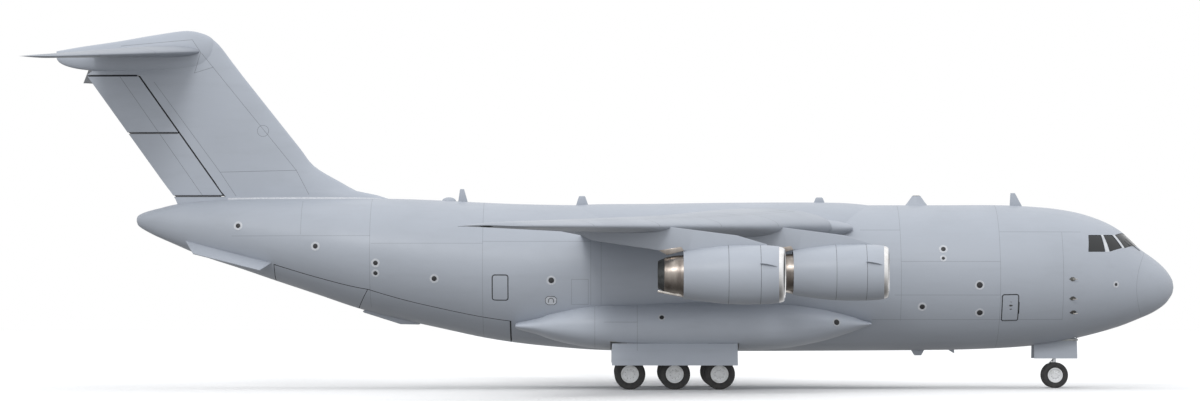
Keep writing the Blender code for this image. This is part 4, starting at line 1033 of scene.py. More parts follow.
# Seams of fin, rudders and bullet and painted shade along the rudders' gaps, in side view: x0, z0, x1, z1,
# and the round panel near the leading edge
finSeamsAndGapShade = {
    "lines": ((-8.608, 7.004, -6.622, 4.555), (-6.622, 4.555, -6.356, 4.047), (-9.608, 6.406, -8.220, 4.517),
        (-8.220, 4.517, -7.887, 4.016), (-8.220, 4.517, -6.622, 4.555), (-10.344, 6.540, -8.573, 4.000),
        (-8.365, 6.719, -8.761, 6.595), (-8.805, 7.291, -8.629, 7.027), (-8.629, 7.027, -8.761, 6.595),
        (-8.805, 7.291, -10.30, 7.16),
        # painted shade: dark bands along the edges of the gaps above, between and below the rudders
        (-11.06, 6.5255, -9.98, 6.5255), (-11.06, 6.5615, -9.98, 6.5615), (-10.22, 5.3215, -9.12, 5.3215),
        (-10.22, 5.3585, -9.14, 5.3585), (-9.26, 4.0365, -8.13, 4.0365), (-9.24, 3.9990, -8.10, 3.9990)),
    "circle": ((-7.323, 5.381, 0.117),),
    "halfWidth": 0.0045,
}
# the fin's paint is 8 % lighter than the fuselage's: painted light
finPaintPaintedLighter = makePaint("finPaintPaintedLighter", makeSeamGroup("finSeamAndGapShadeLines", finSeamsAndGapShade["lines"], finSeamsAndGapShade["halfWidth"],
    finSeamsAndGapShade["circle"]), paintedLightFactor=1.08, seamPower=0.7)


def curveThrough(points, steps):
    # a smooth curve through a row of points, straight where three of them lie in line
    path = []
    ends = [points[0] * 2 - points[1], *points, points[-1] * 2 - points[-2]]
    for before, start, end, after in zip(ends, ends[1:], ends[2:], ends[3:]):
        gap = (end - start).length
        first, last = (end - before).normalized() * gap, (after - start).normalized() * gap
        path += [smoothStep(i / steps, start, first, end, last) for i in range(steps)]
    return path + [points[-1]]


finEdge = curveThrough([Vector((row[0], row[1])) for row in fin["sections"][:5]]
    + [Vector((5.00, -6.541)), Vector((5.60, -7.017)), Vector((6.557, -7.776))], 12)


def finRow(z):
    return straightValue(finEdge, z, 1), *(straightValue(fin["sections"], z, c) for c in (2, 3))


def finPoint(z, turn):
    front, back, thick = finRow(z)
    chord = front - back
    share, height = foilPoint(turn, fin["sides"], thick / chord)
    return Vector((front - share * chord, height * chord, z))


def finSkins(point):
    front, back, thick = finRow(point.z)
    chord = front - back
    return [height * chord for height in foilHeights((front - point.x) / chord, thick / chord)]


tailplane = {
    # y, leading edge x, trailing edge x, z, thickness over chord
    "sections": ((0.00, -8.560, -10.850, 7.060, 0.110), (4.90, -10.980, -11.730, 6.662, 0.100),
        (5.00, -11.150, -11.750, 6.655, 0.060)),
    "sides": 58, "elevatorEnd": 4.80, "endGap": 0.016,
    # x, top z, bottom z, half width of the bullet
    "bullet": ((-11.67, 7.055, 6.930, 0.012), (-11.53, 7.085, 6.775, 0.07), (-11.13, 7.155, 6.674, 0.12),
        (-10.40, 7.262, 6.630, 0.17), (-9.60, 7.400, 6.605, 0.21), (-8.95, 7.487, 6.600, 0.21),
        (-8.60, 7.430, 6.660, 0.17), (-8.36, 7.24, 6.93, 0.05)),
}
tailSeams = ((0.3, 0.02, 0.3, 0.98), (0.62, 0.02, 0.62, 0.98), (0.03, 0.35, 0.97, 0.35),
    (0.03, 0.65, 0.97, 0.65))
# the tailplane's paint is 20 % darker than the fuselage's: painted shade
tailPaintPaintedDarker = makePaint("tailPaintPaintedDarker", makeSeamGroup("tailSeamLines", tailSeams, 0.0011), readsUv=True, paintedLightFactor=0.80,
    seamPower=0.6)


def tailRow(y):
    return [straightValue(tailplane["sections"], y, column) for column in range(1, 5)]


def tailPoint(y, turn):
    front, back, z, thick = tailRow(y)
    if y > 4.90:
        thick *= max(0.12, math.sqrt(1 - ((y - 4.90) / 0.10) ** 2))
    share, height = foilPoint(turn, tailplane["sides"], thick)
    return Vector((front - share * (front - back), -y, z + height * (front - back)))


def tailSkins(point):
    front, back, z, thick = tailRow(abs(point.y))
    chord = front - back
    return [z + height * chord for height in foilHeights((front - point.x) / chord, thick)]


def finFillet(side):
    # the rounded strip along the fin's root, lying in the corner between fin and crown; its pale finish is a
    # painted highlight of the bead's lit strip
    stops = spread(0, 1, 40)

    def place(share, turn):
        x = -8.06 + share * 3.30
        front, back, thick = finRow(4.0)
        chord = front - back
        half = foilHeights((front - x) / chord, thick / chord)[0] * chord if x < front else 0.0
        radius = 0.052 * math.sin(math.pi * min(1.0, max(0.0, share * 0.94 + 0.06))) ** 0.25
        return Vector((x, side * (half + 0.012) + radius * math.cos(turn), 3.943 + radius * math.sin(turn)))
    return giveFinish(wrapGrid("finFillet", stops, 20, place), sensorRim)


def gapShadeStrip(end, way, rear=None, front=-0.015):
    # a near-black strip in the gap beyond an end of a rudder, painted shade that keeps the gap dark; rear and
    # front are reaches from the hinge line
    rear = finRow(end.z)[1] + 0.03 if rear is None else end.x + rear
    low, top = sorted((end.z - way * 0.004, end.z + way * fin["shadeStripHigh"]))
    return giveFinish(boxPiece("seal", (rear, -fin["shadeStripHalf"], low), (end.x + front, fin["shadeStripHalf"], top)),
        gapShade)


def makeTail():
    body = paintAndGapShade(wrapGrid("finSkin", spread(3.60, 4.653, 13) + spread(4.653, 6.557, 22)[1:], fin["sides"],
        finPoint), finPaintPaintedLighter)
    lower = hingeEnds("rudder_lower", fin["lowerRudderTop"], 2)
    upper = hingeEnds("rudder_upper", fin["upperRudderTop"], 2)
    for name, ends, reaches in (("rudder_lower", lower, (0.016, 0.016)), ("rudder_upper", upper, (0, 0.020))):
        panel = withPins(takePanel(name + "Skin", body, ends, finSkins, 2), ends, reaches)
        # near-black strips in the gaps above and below: painted shade
        shadeStrips = [gapShadeStrip(end, way, front=finSkins(end)[0] - 0.006) for end, way in zip(ends, (-1, 1))]
        panel = joinPieces(panel.name, [panel, *shadeStrips])
        finishPiece(panel, name, "grey_paint", [name])
    openRoom(body, (lower[0], upper[1]), finSkins, (fin["footGap"], 0.2), 2)
    carve(body, wholeHull, keepCutter=True)
    foot = lower[0] - Vector((0.02, 0, fin["footGap"]))
    head = Vector((upper[1].x - 0.02, 0, fin["tip"][0][0]))
    footShadeStrips = [gapShadeStrip(foot, 1), gapShadeStrip(foot, 1, 0.050, 0.040 + finSkins(lower[0])[0])]
    body = joinPieces("finSkin", [body, *footShadeStrips, *(finFillet(side) for side in (-1, 1))])
    finishPiece(body, "airframe", "grey_paint", ["fin"])

    rows = fin["tip"]

    def tipPoint(z, turn):
        front, back, thick = (smoothValue(rows, z, column) for column in (1, 2, 3))
        share, height = foilPoint(turn, fin["sides"], thick / (front - back))
        return Vector((front - share * (front - back), height * (front - back), z))
    tip = wrapGrid("finTip", spread(rows[0][0], rows[-1][0], 22), fin["sides"], tipPoint)
    tipShadeStrips = [gapShadeStrip(head, -1), gapShadeStrip(head, -1, 0.032, 0.030 + finSkins(upper[1])[0])]

    def ring(x, values, turn):
        top, bottom, half = values
        return Vector((x, half * math.cos(turn), (top + bottom) / 2 + (top - bottom) / 2 * math.sin(turn)))
    bullet = roundBody("bullet", tailplane["bullet"], 48, 48, ring)
    parts = tipShadeStrips + [giveFinish(piece, finPaintPaintedLighter) for piece in (tip, bullet)]
    half = paintAndGapShade(wrapGrid("stabiliser", spread(0, 4.90, 25) + [4.93, 4.96, 4.985, 5.0],
        tailplane["sides"], tailPoint), tailPaintPaintedDarker)
    ends = hingeEnds("elevator_right", -tailplane["elevatorEnd"], 1)
    elevator = takePanel("elevatorRight", half, ends, tailSkins, 1)
    gap = tailplane["endGap"]
    openRoom(half, ends, tailSkins, (gap, gap), 1)
    withPins(elevator, ends, (gap - 0.004, gap - 0.004))
    finishBothSides(elevator, "elevatorLeft", "elevator", moves=True)
    stabiliser = joinPieces("tailplaneSkin", [half, mirrorOf(half, "stabiliserLeft"), *parts])
    finishPiece(stabiliser, "airframe", "grey_paint", ["tailplane"])


makeTail()
print("tail made")

sponson = {
    # x, top z, bottom z, outer y
    "sections": ((-2.011, 1.340, 1.275, 1.36), (-1.615, 1.455, 1.140, 1.56), (-1.230, 1.587, 1.010, 1.70),
        (-0.449, 1.747, 0.850, 1.87), (0.494, 1.776, 0.795, 1.96), (1.579, 1.827, 0.780, 1.98),
        (3.423, 1.797, 0.830, 1.94), (4.250, 1.696, 0.970, 1.81), (4.814, 1.556, 1.130, 1.65),
        (5.194, 1.420, 1.270, 1.50), (5.334, 1.365, 1.325, 1.43)),
    "inner": 0.80,
    "well": ((-0.05, 2.59), (1.15, 1.75), (0.50, 1.24)),
    # x0, z0, x1, z1 of the seams in side view
    "seams": ((-0.37, 0.85, -0.37, 1.8), (0.50, 0.80, 0.50, 1.85), (-0.18, 1.388, 0.50, 1.388)),
    # x, z, radius of the rim, radius of the dark middle
    "sensors": ((1.000, 1.484, 0.075, 0.048), (4.594, 1.382, 0.085, 0.060)),
    "doorTop": (0.008, 0.95), "doorFoot": (0.17, 0.50), "doorThick": 0.020,
}
# the sponsons' paint is 22 % lighter than the fuselage's: painted light that lifts them out of the wing's
# shade
sponsonPaintPaintedLighter = makePaint("sponsonPaintPaintedLighter", makeSeamGroup("sponsonSeamLines", sponson["seams"], 0.004),
    paintedLightFactor=1.22, seamPower=0.5)


def sponsonPoint(x, z, side):
    turned, _ = phaseTable(sponson["sections"])
    low, high = sponson["sections"][0][0], sponson["sections"][-1][0]
    phase = math.asin(max(-1.0, min(1.0, (x - (low + high) / 2) / ((high - low) / 2))))
    top, bottom, outer = (smoothValue(turned, phase, column) for column in (1, 2, 3))
    lift = min(1.0, abs(z - (top + bottom) / 2) / ((top - bottom) / 2)) ** (1 / 0.85)
    return Vector((x,
        side * (sponson["inner"] + (outer - sponson["inner"]) * math.sqrt(1 - lift**2) ** 0.75), z))


def sponsonBody(name, grow=0.0):
    inner = sponson["inner"]

    def ring(x, values, turn):
        top, bottom, outer = values
        middle, rise = (top + bottom) / 2, max(0.004, (top - bottom) / 2) + grow
        if math.pi < turn < 2 * math.pi - 0.001:
            return Vector((x, -inner + 0.3, middle + rise * (3 - 2 * turn / math.pi)))
        angle = turn - math.pi / 2
        wide = abs(math.cos(angle)) ** 0.75
        high = math.copysign(abs(math.sin(angle)) ** 0.85, math.sin(angle))
        return Vector((x, -inner - (outer - inner + grow) * wide, middle + rise * high))
    return roundBody(name, sponson["sections"], 90, 72, ring)


def tintFaces(piece, finish, inside):
    # gives another finish to the faces whose middles pass the test
    piece.data.materials.append(finish)
    slot = len(piece.data.materials) - 1
    for face in piece.data.polygons:
        if inside(face.center):
            face.material_index = slot
    return piece


def makeSponsons():
    body = giveFinish(sponsonBody("sponsonRight"), sponsonPaintPaintedLighter)
    carve(body, wholeHull, keepCutter=True)
    (x0, x1), (y0, y1), (z0, z1) = sponson["well"]
    carve(body, boxPiece("wellCut", (x0, -y1, z0), (x1, -y0, z1)))
    tintFaces(body, gearBay, lambda c: x0 - 0.001 < c.x < x1 + 0.001 and -y1 - 0.001 < c.y < -y0 + 0.001
        and z0 < c.z < z1 + 0.001 and c.z > 0.8)
    (topOut, topZ), (footOut, footZ), thick = sponson["doorTop"], sponson["doorFoot"], sponson["doorThick"]
    corners = ((-y1 - topOut, topZ), (-y1 - topOut - thick, topZ), (-y1 - footOut - thick, footZ),
        (-y1 - footOut, footZ))
    door = crossPrism("mainDoorRight", corners, x0 + 0.03, x1 - x0 - 0.06)
    bevelEdges(door, 0.005)
    carve(door, sponsonBody("doorCut", 0.0008))
    giveFinish(door, sponsonPaintPaintedLighter)
    ribs = []
    for x in spread(x0 + 0.14, x1 - 0.14, 7):
        rib = ((-y1 - topOut - 0.07, 0.80), (-y1 - footOut + 0.004, footZ + 0.03),
               (-y1 - footOut + 0.030, footZ + 0.03), (-y1 - 0.052, 0.74))
        ribs.append(giveFinish(crossPrism("rib", rib, x - 0.010, 0.02), gearBay))
    door = joinPieces("mainDoorRight", [door, *ribs])
    for piece, word in ((body, "sponson"), (door, "main_gear_door")):
        finishBothSides(piece, word + "Left", word)


makeSponsons()
print("sponsons made")

# Wheels and landing gear

gear = {
    "mainRows": (0.35, 1.27, 2.19), "mainY": 1.45, "mainAxle": 0.3188, "mainTyre": (0.3188, 0.11, 0.18),
    "noseX": 9.25, "noseAxle": 0.2697, "noseTyre": (0.2697, 0.085, 0.145), "axle": 0.030, "forkTop": 0.62,
    "lug": ((9.28, 9.36), (-0.04, 0.04), (0.07, 0.14)),
    # z, radius of the turned lengths of each leg, from the bottom up
    "mainCylinder": ((0.70, 0.052), (0.705, 0.066), (0.745, 0.066), (0.75, 0.057), (0.96, 0.057),
        (0.965, 0.064), (1.005, 0.064), (1.01, 0.060), (1.10, 0.060)),
    "mainPiston": ((0.45, 0.043), (0.705, 0.043)), "mainFoot": ((0.43, 0.050), (0.455, 0.050), (0.46, 0.044)),
    "noseCollar": ((0.98, 0.066), (0.985, 0.074), (1.03, 0.074), (1.035, 0.068), (1.16, 0.068)),
}


def tyreOutline(radius, half):
    # across the tread from bead to bead, with four grooves and round shoulders
    rim = radius * 0.55
    side = [(-0.62, rim), (-0.86, rim + 0.10 * radius), (-1.0, 0.80 * radius), (-0.95, 0.91 * radius),
            (-0.80, 0.975 * radius)]
    tread = [(-0.66, radius * 0.995)]
    for middle in (-0.48, -0.17, 0.17, 0.48):
        tread += [(middle - 0.055, radius), (middle - 0.045, radius - 0.010),
            (middle + 0.045, radius - 0.010), (middle + 0.055, radius)]
    tread.append((0.66, radius * 0.995))
    outline = side + tread + [(-a, r) for a, r in reversed(side)]
    return [(a * half, r) for a, r in outline] + [(half * 0.5, rim - 0.012), (-half * 0.5, rim - 0.012)]


def wheelPair(name, body, centre, tyre):
    radius, half, off = tyre
    rim = radius * 0.55
    pieces = []
    for side in (-1, 1):
        middle = (centre[0], centre[1] + side * off, centre[2])
        axis = (0, side, 0)
        pieces.append(giveFinish(spunPiece("tyre", tyreOutline(radius, half), 56, middle, axis), tyreRubber))
        # the outer side of each rim is dished and holds the hub; the inner side holds the brake
        dish = [(-0.62, rim - 0.004), (0.62, rim - 0.004), (0.68, rim + 0.008), (0.76, rim + 0.006),
            (0.74, rim - 0.012), (0.50, rim - 0.028), (0.34, rim * 0.62), (0.36, rim * 0.50),
            (0.58, rim * 0.44), (0.60, rim * 0.30), (0.48, rim * 0.26), (0.48, 0.004), (-0.60, 0.004),
            (-0.60, rim * 0.80), (-0.66, rim * 0.84)]
        pieces.append(giveFinish(spunPiece("rim", [(a * half, r) for a, r in dish], 44, middle, axis),
            gearWhite))
        for i in range(9):
            turn = 2 * math.pi * i / 9
            spot = Vector(middle) + Vector((math.cos(turn), 0, math.sin(turn))) * rim * 0.56
            way = Vector((0, side * half, 0))
            pieces.append(giveFinish(rodPiece("nut", spot + way * 0.30, spot + way * 0.42, rim * 0.05, 6),
                gearSteel))
        brake = [(-0.60, rim * 0.82), (-0.72, rim * 0.82), (-0.72, rim * 0.40), (-0.60, rim * 0.40)]
        pieces.append(giveFinish(spunPiece("brake", [(a * half, r) for a, r in brake], 32, middle, axis),
            beamMetal))
    reach = off - half * 0.55
    pieces.append(giveFinish(rodPiece("axle", (centre[0], centre[1] - reach, centre[2]),
        (centre[0], centre[1] + reach, centre[2]), gear["axle"], 32), gearSteel))
    finishPiece(joinPieces(name, pieces), body, "tyre_rubber", [body])


def bearing(x, y, z, tyre, outer):
    # a collar round the axle with a bore that clears it
    reach = tyre[2] - tyre[1] - 0.012
    bore = gear["axle"] + 0.001
    outline = [(-reach, bore), (-reach, outer - 0.006), (-reach + 0.006, outer), (reach - 0.006, outer),
        (reach, outer - 0.006), (reach, bore)]
    return giveFinish(spunPiece("bearing", outline, 36, (x, y, z), (0, 1, 0)), gearWhite)


def tubeAt(start, end, radius, finish, sides=24, bevel=0.004):
    return giveFinish(rodPiece("strut", start, end, radius, sides, bevel), finish)


def turnedLeg(x, y, rows, finish):
    # a turned upright: z, radius from the bottom to the top
    outline = [(rows[0][0], 0.002), *rows, (rows[-1][0], 0.002)]
    leg = outlinePiece("leg", [(x + r, y, z) for z, r in outline])
    bpy.ops.mesh.spin(steps=32, angle=2 * math.pi, center=(x, y, 0), axis=(0, 0, 1))
    return giveFinish(tidyMesh(leg, capped=False), finish)


def scissorLink(x, y, top, foot, reach, way):
    # two hinged arms that keep a leg's piston from turning
    apex = (top + foot) / 2
    pieces = []
    for z in (top, foot):
        for side in (-1, 1):
            pieces.append(tubeAt((x + way * 0.03, y + side * 0.028, z),
                (x + way * reach, y + side * 0.010, apex), 0.011, gearWhite, 10, 0.002))
        pieces.append(tubeAt((x + way * 0.035, y - 0.04, z), (x + way * 0.035, y + 0.04, z), 0.014,
            gearSteel, 14, 0.002))
    pieces.append(tubeAt((x + way * reach, y - 0.025, apex), (x + way * reach, y + 0.025, apex), 0.013,
        gearSteel, 14, 0.002))
    return pieces


def makeMainGear():
    (x0, x1), _, (_, roof) = sponson["well"]
    z, y = gear["mainAxle"], -gear["mainY"]
    beam = boxPiece("beam", (x0 + 0.0003, y - 0.06, 1.10), (x1 - 0.0003, y + 0.06, roof - 0.0003), 0.012)
    for side in (-1, 1):
        carve(beam, boxPiece("web", (x0 + 0.10, y + side * 0.075 - 0.04, 1.125),
            (x1 - 0.10, y + side * 0.075 + 0.04, 1.205)))
    pieces = [giveFinish(beam, gearWhite)]
    for x in gear["mainRows"]:
        pieces.append(turnedLeg(x, y, gear["mainCylinder"], gearWhite))
        pieces.append(turnedLeg(x, y, gear["mainPiston"], gearSteel))
        pieces.append(turnedLeg(x, y, ((z + 0.035, 0.030), (z + 0.05, 0.047), *gear["mainFoot"]), gearWhite))
        pieces.append(bearing(x, y, z, gear["mainTyre"], 0.055))
        pieces += scissorLink(x, y, 0.715, 0.44, 0.135, -1)
        pieces.append(tubeAt((x + 0.03, y, 0.985), (x + 0.30, y, 1.13), 0.018, gearWhite, 16))
        # a brake pipe down each leg, in one bent length
        pipe = ((x + 0.050, y + 0.045, 1.10), (x + 0.050, y + 0.045, 0.72), (x + 0.035, y + 0.050, 0.40))
        pieces += [tubeAt(start, end, 0.006, blackTrim, 10, 0.001) for start, end in zip(pipe, pipe[1:])]
    finishBothSides(joinPieces("mainLegsRight", pieces), "mainLegsLeft", "main_gear_legs", "gear_paint")
    for side, word in ((-1, "right"), (1, "left")):
        for number, x in enumerate(reversed(gear["mainRows"]), 1):
            body = f"main_wheels_{word}_{number}"
            wheelPair(body + "Pair", body, (x, side * gear["mainY"], z), gear["mainTyre"])


def makeNoseGear():
    x, z, top = gear["noseX"], gear["noseAxle"], gear["forkTop"]
    bar = boxPiece("trunnion", (x - 0.06, -1.2, 1.12), (x + 0.06, 1.2, 1.22), 0.012)
    keepWithin(bar, hullTube("insideHull", 8.2, 10.2, hull["wall"] + 0.0005, capped=True))
    leg = [giveFinish(bar, gearWhite)]
    collar = ((top + 0.0005, 0.060), (top + 0.006, 0.075), (top + 0.05, 0.075), (top + 0.055, 0.066))
    leg.append(turnedLeg(x, 0, (*collar, *gear["noseCollar"]), gearWhite))
    for side in (-1, 1):
        leg.append(tubeAt((x + 0.02, side * 0.055, 0.80), (x + 0.36, side * 0.10, 1.13), 0.020,
            gearWhite, 18))
        leg.append(tubeAt((x - 0.11, side * 0.062, top + 0.10), (x + 0.06, side * 0.062, top + 0.10), 0.017,
            gearSteel, 16))
    leg.append(tubeAt((x - 0.10, -0.075, top + 0.10), (x - 0.10, 0.075, top + 0.10), 0.012, gearSteel, 14))
    leg.append(tubeAt((x + 0.085, -0.05, 0.90), (x + 0.085, 0.05, 0.90), 0.030, sensorRim, 24, 0.006))
    finishPiece(joinPieces("noseLegPiece", leg), "airframe", "gear_paint", ["nose_leg"])

    fork = [turnedLeg(x, 0, ((z + 0.036, 0.034), (z + 0.05, 0.048), (0.43, 0.048), (0.44, 0.042)), gearWhite)]
    fork.append(turnedLeg(x, 0, ((0.43, 0.040), (top - 0.001, 0.040)), gearSteel))
    fork.append(bearing(x, 0, z, gear["noseTyre"], 0.055))
    (lx0, lx1), (ly0, ly1), (lz0, lz1) = gear["lug"]
    fork.append(giveFinish(boxPiece("towLug", (lx0, ly0, z + lz0), (lx1, ly1, z + lz1), 0.003), gearSteel))
    fork += scissorLink(x, 0, top - 0.03, 0.42, 0.125, -1)
    finishPiece(joinPieces("noseForkPiece", fork), "nose_fork", "gear_paint", ["nose_fork"])
    wheelPair("noseWheelsPair", "nose_wheels", (x, 0, z), gear["noseTyre"])

    (x0, y0, _), (x1, y1, _) = noseWell["low"], noseWell["high"]
    corners = ((-y1 + 0.06, 1.05), (-y1 + 0.042, 1.05), (-y1 - 0.048, 0.62), (-y1 - 0.03, 0.62))
    door = crossPrism("noseDoorRight", corners, x0 + 0.02, x1 - x0 - 0.04)
    bevelEdges(door, 0.004)
    parts = [giveFinish(door, plainPaint)]
    parts.append(giveFinish(boxPiece("hingeBar", (x0 + 0.0003, -y1 + 0.0003, 0.99),
        (x1 - 0.0003, -y1 + 0.05, 1.03), 0.006), gearBay))
    for spot in spread(x0 + 0.12, x1 - 0.12, 4):
        rib = ((-y1 + 0.050, 0.99), (-y1 + 0.076, 0.96), (-y1 - 0.002, 0.65), (-y1 - 0.030, 0.65))
        parts.append(giveFinish(crossPrism("rib", rib, spot - 0.008, 0.016), gearBay))
    finishBothSides(joinPieces("noseDoorRight", parts), "noseDoorLeft", "nose_gear_door")

    # the well's walls and roof, round the leg
    walls = []
    for y in (y0 - 0.012, y1):
        walls.append(boxPiece("wellWall", (x0, y, 0.99), (x1, y + 0.012, 1.30)))
    for spot in (x0 - 0.012, x1):
        walls.append(boxPiece("wellWall", (spot, y0 - 0.012, 0.97), (spot + 0.012, y1 + 0.012, 1.30)))
    walls.append(boxPiece("wellRoof", (x0 - 0.012, y0 - 0.012, 1.24), (x1 + 0.012, y1 + 0.012, 1.25)))
    for spot in spread(x0 + 0.08, x1 - 0.08, 6):
        walls.append(boxPiece("wellRib", (spot - 0.008, y0, 1.215), (spot + 0.008, y1, 1.24)))
    inside = hullTube("insideHull", 8.2, 10.2, hull["wall"] - 0.01, capped=True)
    for wall in walls:
        carve(wall, inside, "INTERSECT", keepCutter=True)
    bpy.data.objects.remove(inside)
    finishPiece(giveFinish(joinPieces("noseWellLiner", walls), gearBay), "airframe", "dark_interior")


makeMainGear()
makeNoseGear()
print("landing gear made")

# Engines, their cowls and pylons

engine = {
    # name, y, x of the lip's front, z of the axis
    "places": (("inner", 3.40, 5.605, 2.395), ("outer", 7.60, 3.315, 2.323)),
    # distance behind the lip, radius: the cowl outside and inside
    "cowlOuter": ((0.0, 0.475), (0.03, 0.510), (0.155, 0.540), (0.53, 0.565), (1.13, 0.560), (1.61, 0.511),
        (1.99, 0.452)),
    "cowlInner": ((0.0, 0.475), (0.02, 0.448), (0.10, 0.430), (0.45, 0.440), (0.70, 0.460), (1.61, 0.460),
        (1.99, 0.425)),
    "lipEnd": 0.125, "grooves": (0.523, 1.133), "grooveHalf": 0.0035, "grooveDeep": 0.005,
    "core": ((0.80, 0.30), (0.90, 0.4597), (1.60, 0.4597), (1.975, 0.4247), (1.98, 0.376), (2.17, 0.360),
        (2.35, 0.322), (2.354, 0.316), (2.475, 0.262), (2.475, 0.246), (2.20, 0.270), (2.10, 0.27)),
    "nozzleFrom": 2.352, "plug": ((2.10, 0.19), (2.26, 0.15), (2.42, 0.06), (2.45, 0.012)),
    "fanFront": 0.60, "fanBack": 0.725, "fanTip": 0.424, "fanHub": 0.135, "blades": 26, "vanes": 36,
    "cowlLong": 1.99,
    "spinner": ((0.43, 0.004), (0.435, 0.022), (0.455, 0.050), (0.52, 0.100), (0.60, 0.137), (0.72, 0.137)),
    # distance behind the lip, height over the axis: the pylon in side view
    "pylon": ((0.39, 0.50), (0.39, 0.577), (0.962, 0.747), (2.20, 0.905), (2.45, 0.945), (4.10, 0.935),
        (4.10, 0.84), (3.75, 0.66), (2.455, 0.462), (2.30, 0.384), (1.98, 0.454), (1.70, 0.45)),
    "pylonHalf": 0.085,
    # distance behind the lip, share of the half width
    "pylonPlan": ((0.30, 0.0), (0.40, 0.22), (0.75, 0.60), (1.15, 0.86), (1.60, 1.0), (2.3, 1.0), (3.0, 0.98),
        (3.6, 0.66), (4.2, 0.12)),
    "beam": ((1.98, -0.434), (2.48, -0.338), (2.48, -0.29), (1.98, -0.37)),
    "wedge": ((1.977, 0.451), (2.030, 0.531), (2.455, 0.462), (2.300, 0.374)), "wedgeHalf": 0.093,
    # distance behind the lip, height over the axis and reach beyond the cowl of the plate on its flank
    "strakelet": ((0.22, 0.150, 0.002), (0.30, 0.165, 0.045), (0.42, 0.185, 0.062), (0.54, 0.200, 0.055)),
    "lipSlant": 0.105, "slantEnd": 0.42, "lipInside": 0.012,
}


def sampled(rows, first, last, count):
    # points of a smooth curve through a table, closer together towards its start
    turned = [(math.sqrt(row[0]), row[1]) for row in rows]
    return [(key**2, smoothValue(turned, key, 1)) for key in spread(math.sqrt(first), math.sqrt(last), count)]


def cowlOutline():
    outer = sampled(engine["cowlOuter"], 0.0, engine["lipEnd"], 9)
    last = engine["lipEnd"]
    for groove in engine["grooves"]:
        outer += sampled(engine["cowlOuter"], last, groove - engine["grooveHalf"], 8)[1:]
        radius = outer[-1][1]
        outer += [(groove - engine["grooveHalf"] + 0.0005, radius - engine["grooveDeep"]),
            (groove + engine["grooveHalf"] - 0.0005, radius - engine["grooveDeep"])]
        last = groove + engine["grooveHalf"]
        outer += sampled(engine["cowlOuter"], last, last, 2)[:1]
    outer += sampled(engine["cowlOuter"], last, engine["cowlLong"], 14)[1:]
    inner = sampled(engine["cowlInner"], 0.0, engine["cowlLong"], 30)[1:]
    return outer + list(reversed(inner))


def turnAbout(piece, lip, y, z):
    # the axis of a piece spun along -X stands at the engine's own axis
    piece.data.transform(Matrix.Translation((lip, y, z)))
    return piece


def makeFan(name, body, lip, y, z):
    front, back = engine["fanFront"], engine["fanBack"]
    middle, halfLong = -(front + back) / 2, (back - front) / 2 - 0.008
    blades = []
    for number in range(engine["blades"]):
        blade = newPiece("blade", bpy.ops.mesh.primitive_grid_add, x_subdivisions=4, y_subdivisions=7, size=2)
        for vertex in blade.data.vertices:
            across, out = vertex.co.x, (vertex.co.y + 1) / 2
            reach = engine["fanHub"] - 0.006 + (engine["fanTip"] - engine["fanHub"] + 0.003) * out
            lean = math.radians(22 + 36 * out)
            along = across * halfLong * (0.72 + 0.28 * math.sin(math.pi * min(1, out * 0.8)))
            swing = along * math.tan(lean) / 1.35 + 0.010 * math.sin(math.pi * out) * (1 - across**2)
            angle = swing / reach + 2 * math.pi * number / engine["blades"]
            vertex.co = (middle - along, reach * math.cos(angle), reach * math.sin(angle))
        blades.append(useModifier(blade, "SOLIDIFY", thickness=0.0045, offset=0))
    fan = giveFinish(joinPieces(name, blades), fanMetal)
    hub = [(-a, r) for a, r in engine["spinner"]]
    spinner = giveFinish(spunPiece("spinner", hub + [(-0.72, 0.004)], 40), spinnerPaint)
    finishPiece(turnAbout(joinPieces(name, [fan, spinner]), lip, y, z), body, "fan_titanium", [body])


def strakelet(lip, y, z, side):
    # a thin plate on the cowl's flank that tidies the air at high angles; it rises to the rear
    corners, edge = [], []
    for reach, height, sharp in engine["strakelet"]:
        radius = smoothValue(engine["cowlOuter"], reach, 1)
        turn = math.asin(height / radius)
        out = Vector((0, side * math.cos(turn), math.sin(turn)))
        base = Vector((lip - reach, y, z)) + out * (radius - 0.012)
        corners.append(base)
        edge.append(base + out * (0.012 + sharp))
    across = Vector((0, -0.35 * side, 1)).normalized() * 0.006
    outline = corners + list(reversed(edge))
    plate = prismPiece("strakelet", [corner - across for corner in outline], across * 2)
    return giveFinish(bevelEdges(plate, 0.0025), plainPaint)


def makeCowl():
    outline = [(-a, r) for a, r in cowlOutline()]
    cowl = giveFinish(spunPiece("cowl", outline, 96), cowlPaintPaintedLighter, polishedLip, blackTrim, ductPaintedShade, linerPaintedShade)
    # inside the intake the liner is painted dark grey and the duct behind it near black: painted shade
    for face in cowl.data.polygons:
        reach = -face.center.x
        radius = math.hypot(face.center.y, face.center.z)
        outer = radius > smoothValue(engine["cowlInner"], reach, 1) + 0.012 or reach < 0.02
        if reach < (engine["lipEnd"] if outer else engine["lipInside"]):
            face.material_index = 1
        elif not outer:
            face.material_index = 4 if reach < 0.55 else 3
        elif any(abs(reach - groove) < engine["grooveHalf"] for groove in engine["grooves"]):
            face.material_index = 2
    for vertex in cowl.data.vertices:
        # the intake's lip looks a little outwards
        reach = -vertex.co.x
        share = 1 - min(1.0, max(0.0, reach / engine["slantEnd"]))
        vertex.co.x -= engine["lipSlant"] * share**1.5 * (0.54 - vertex.co.y) / 1.08
    return cowl


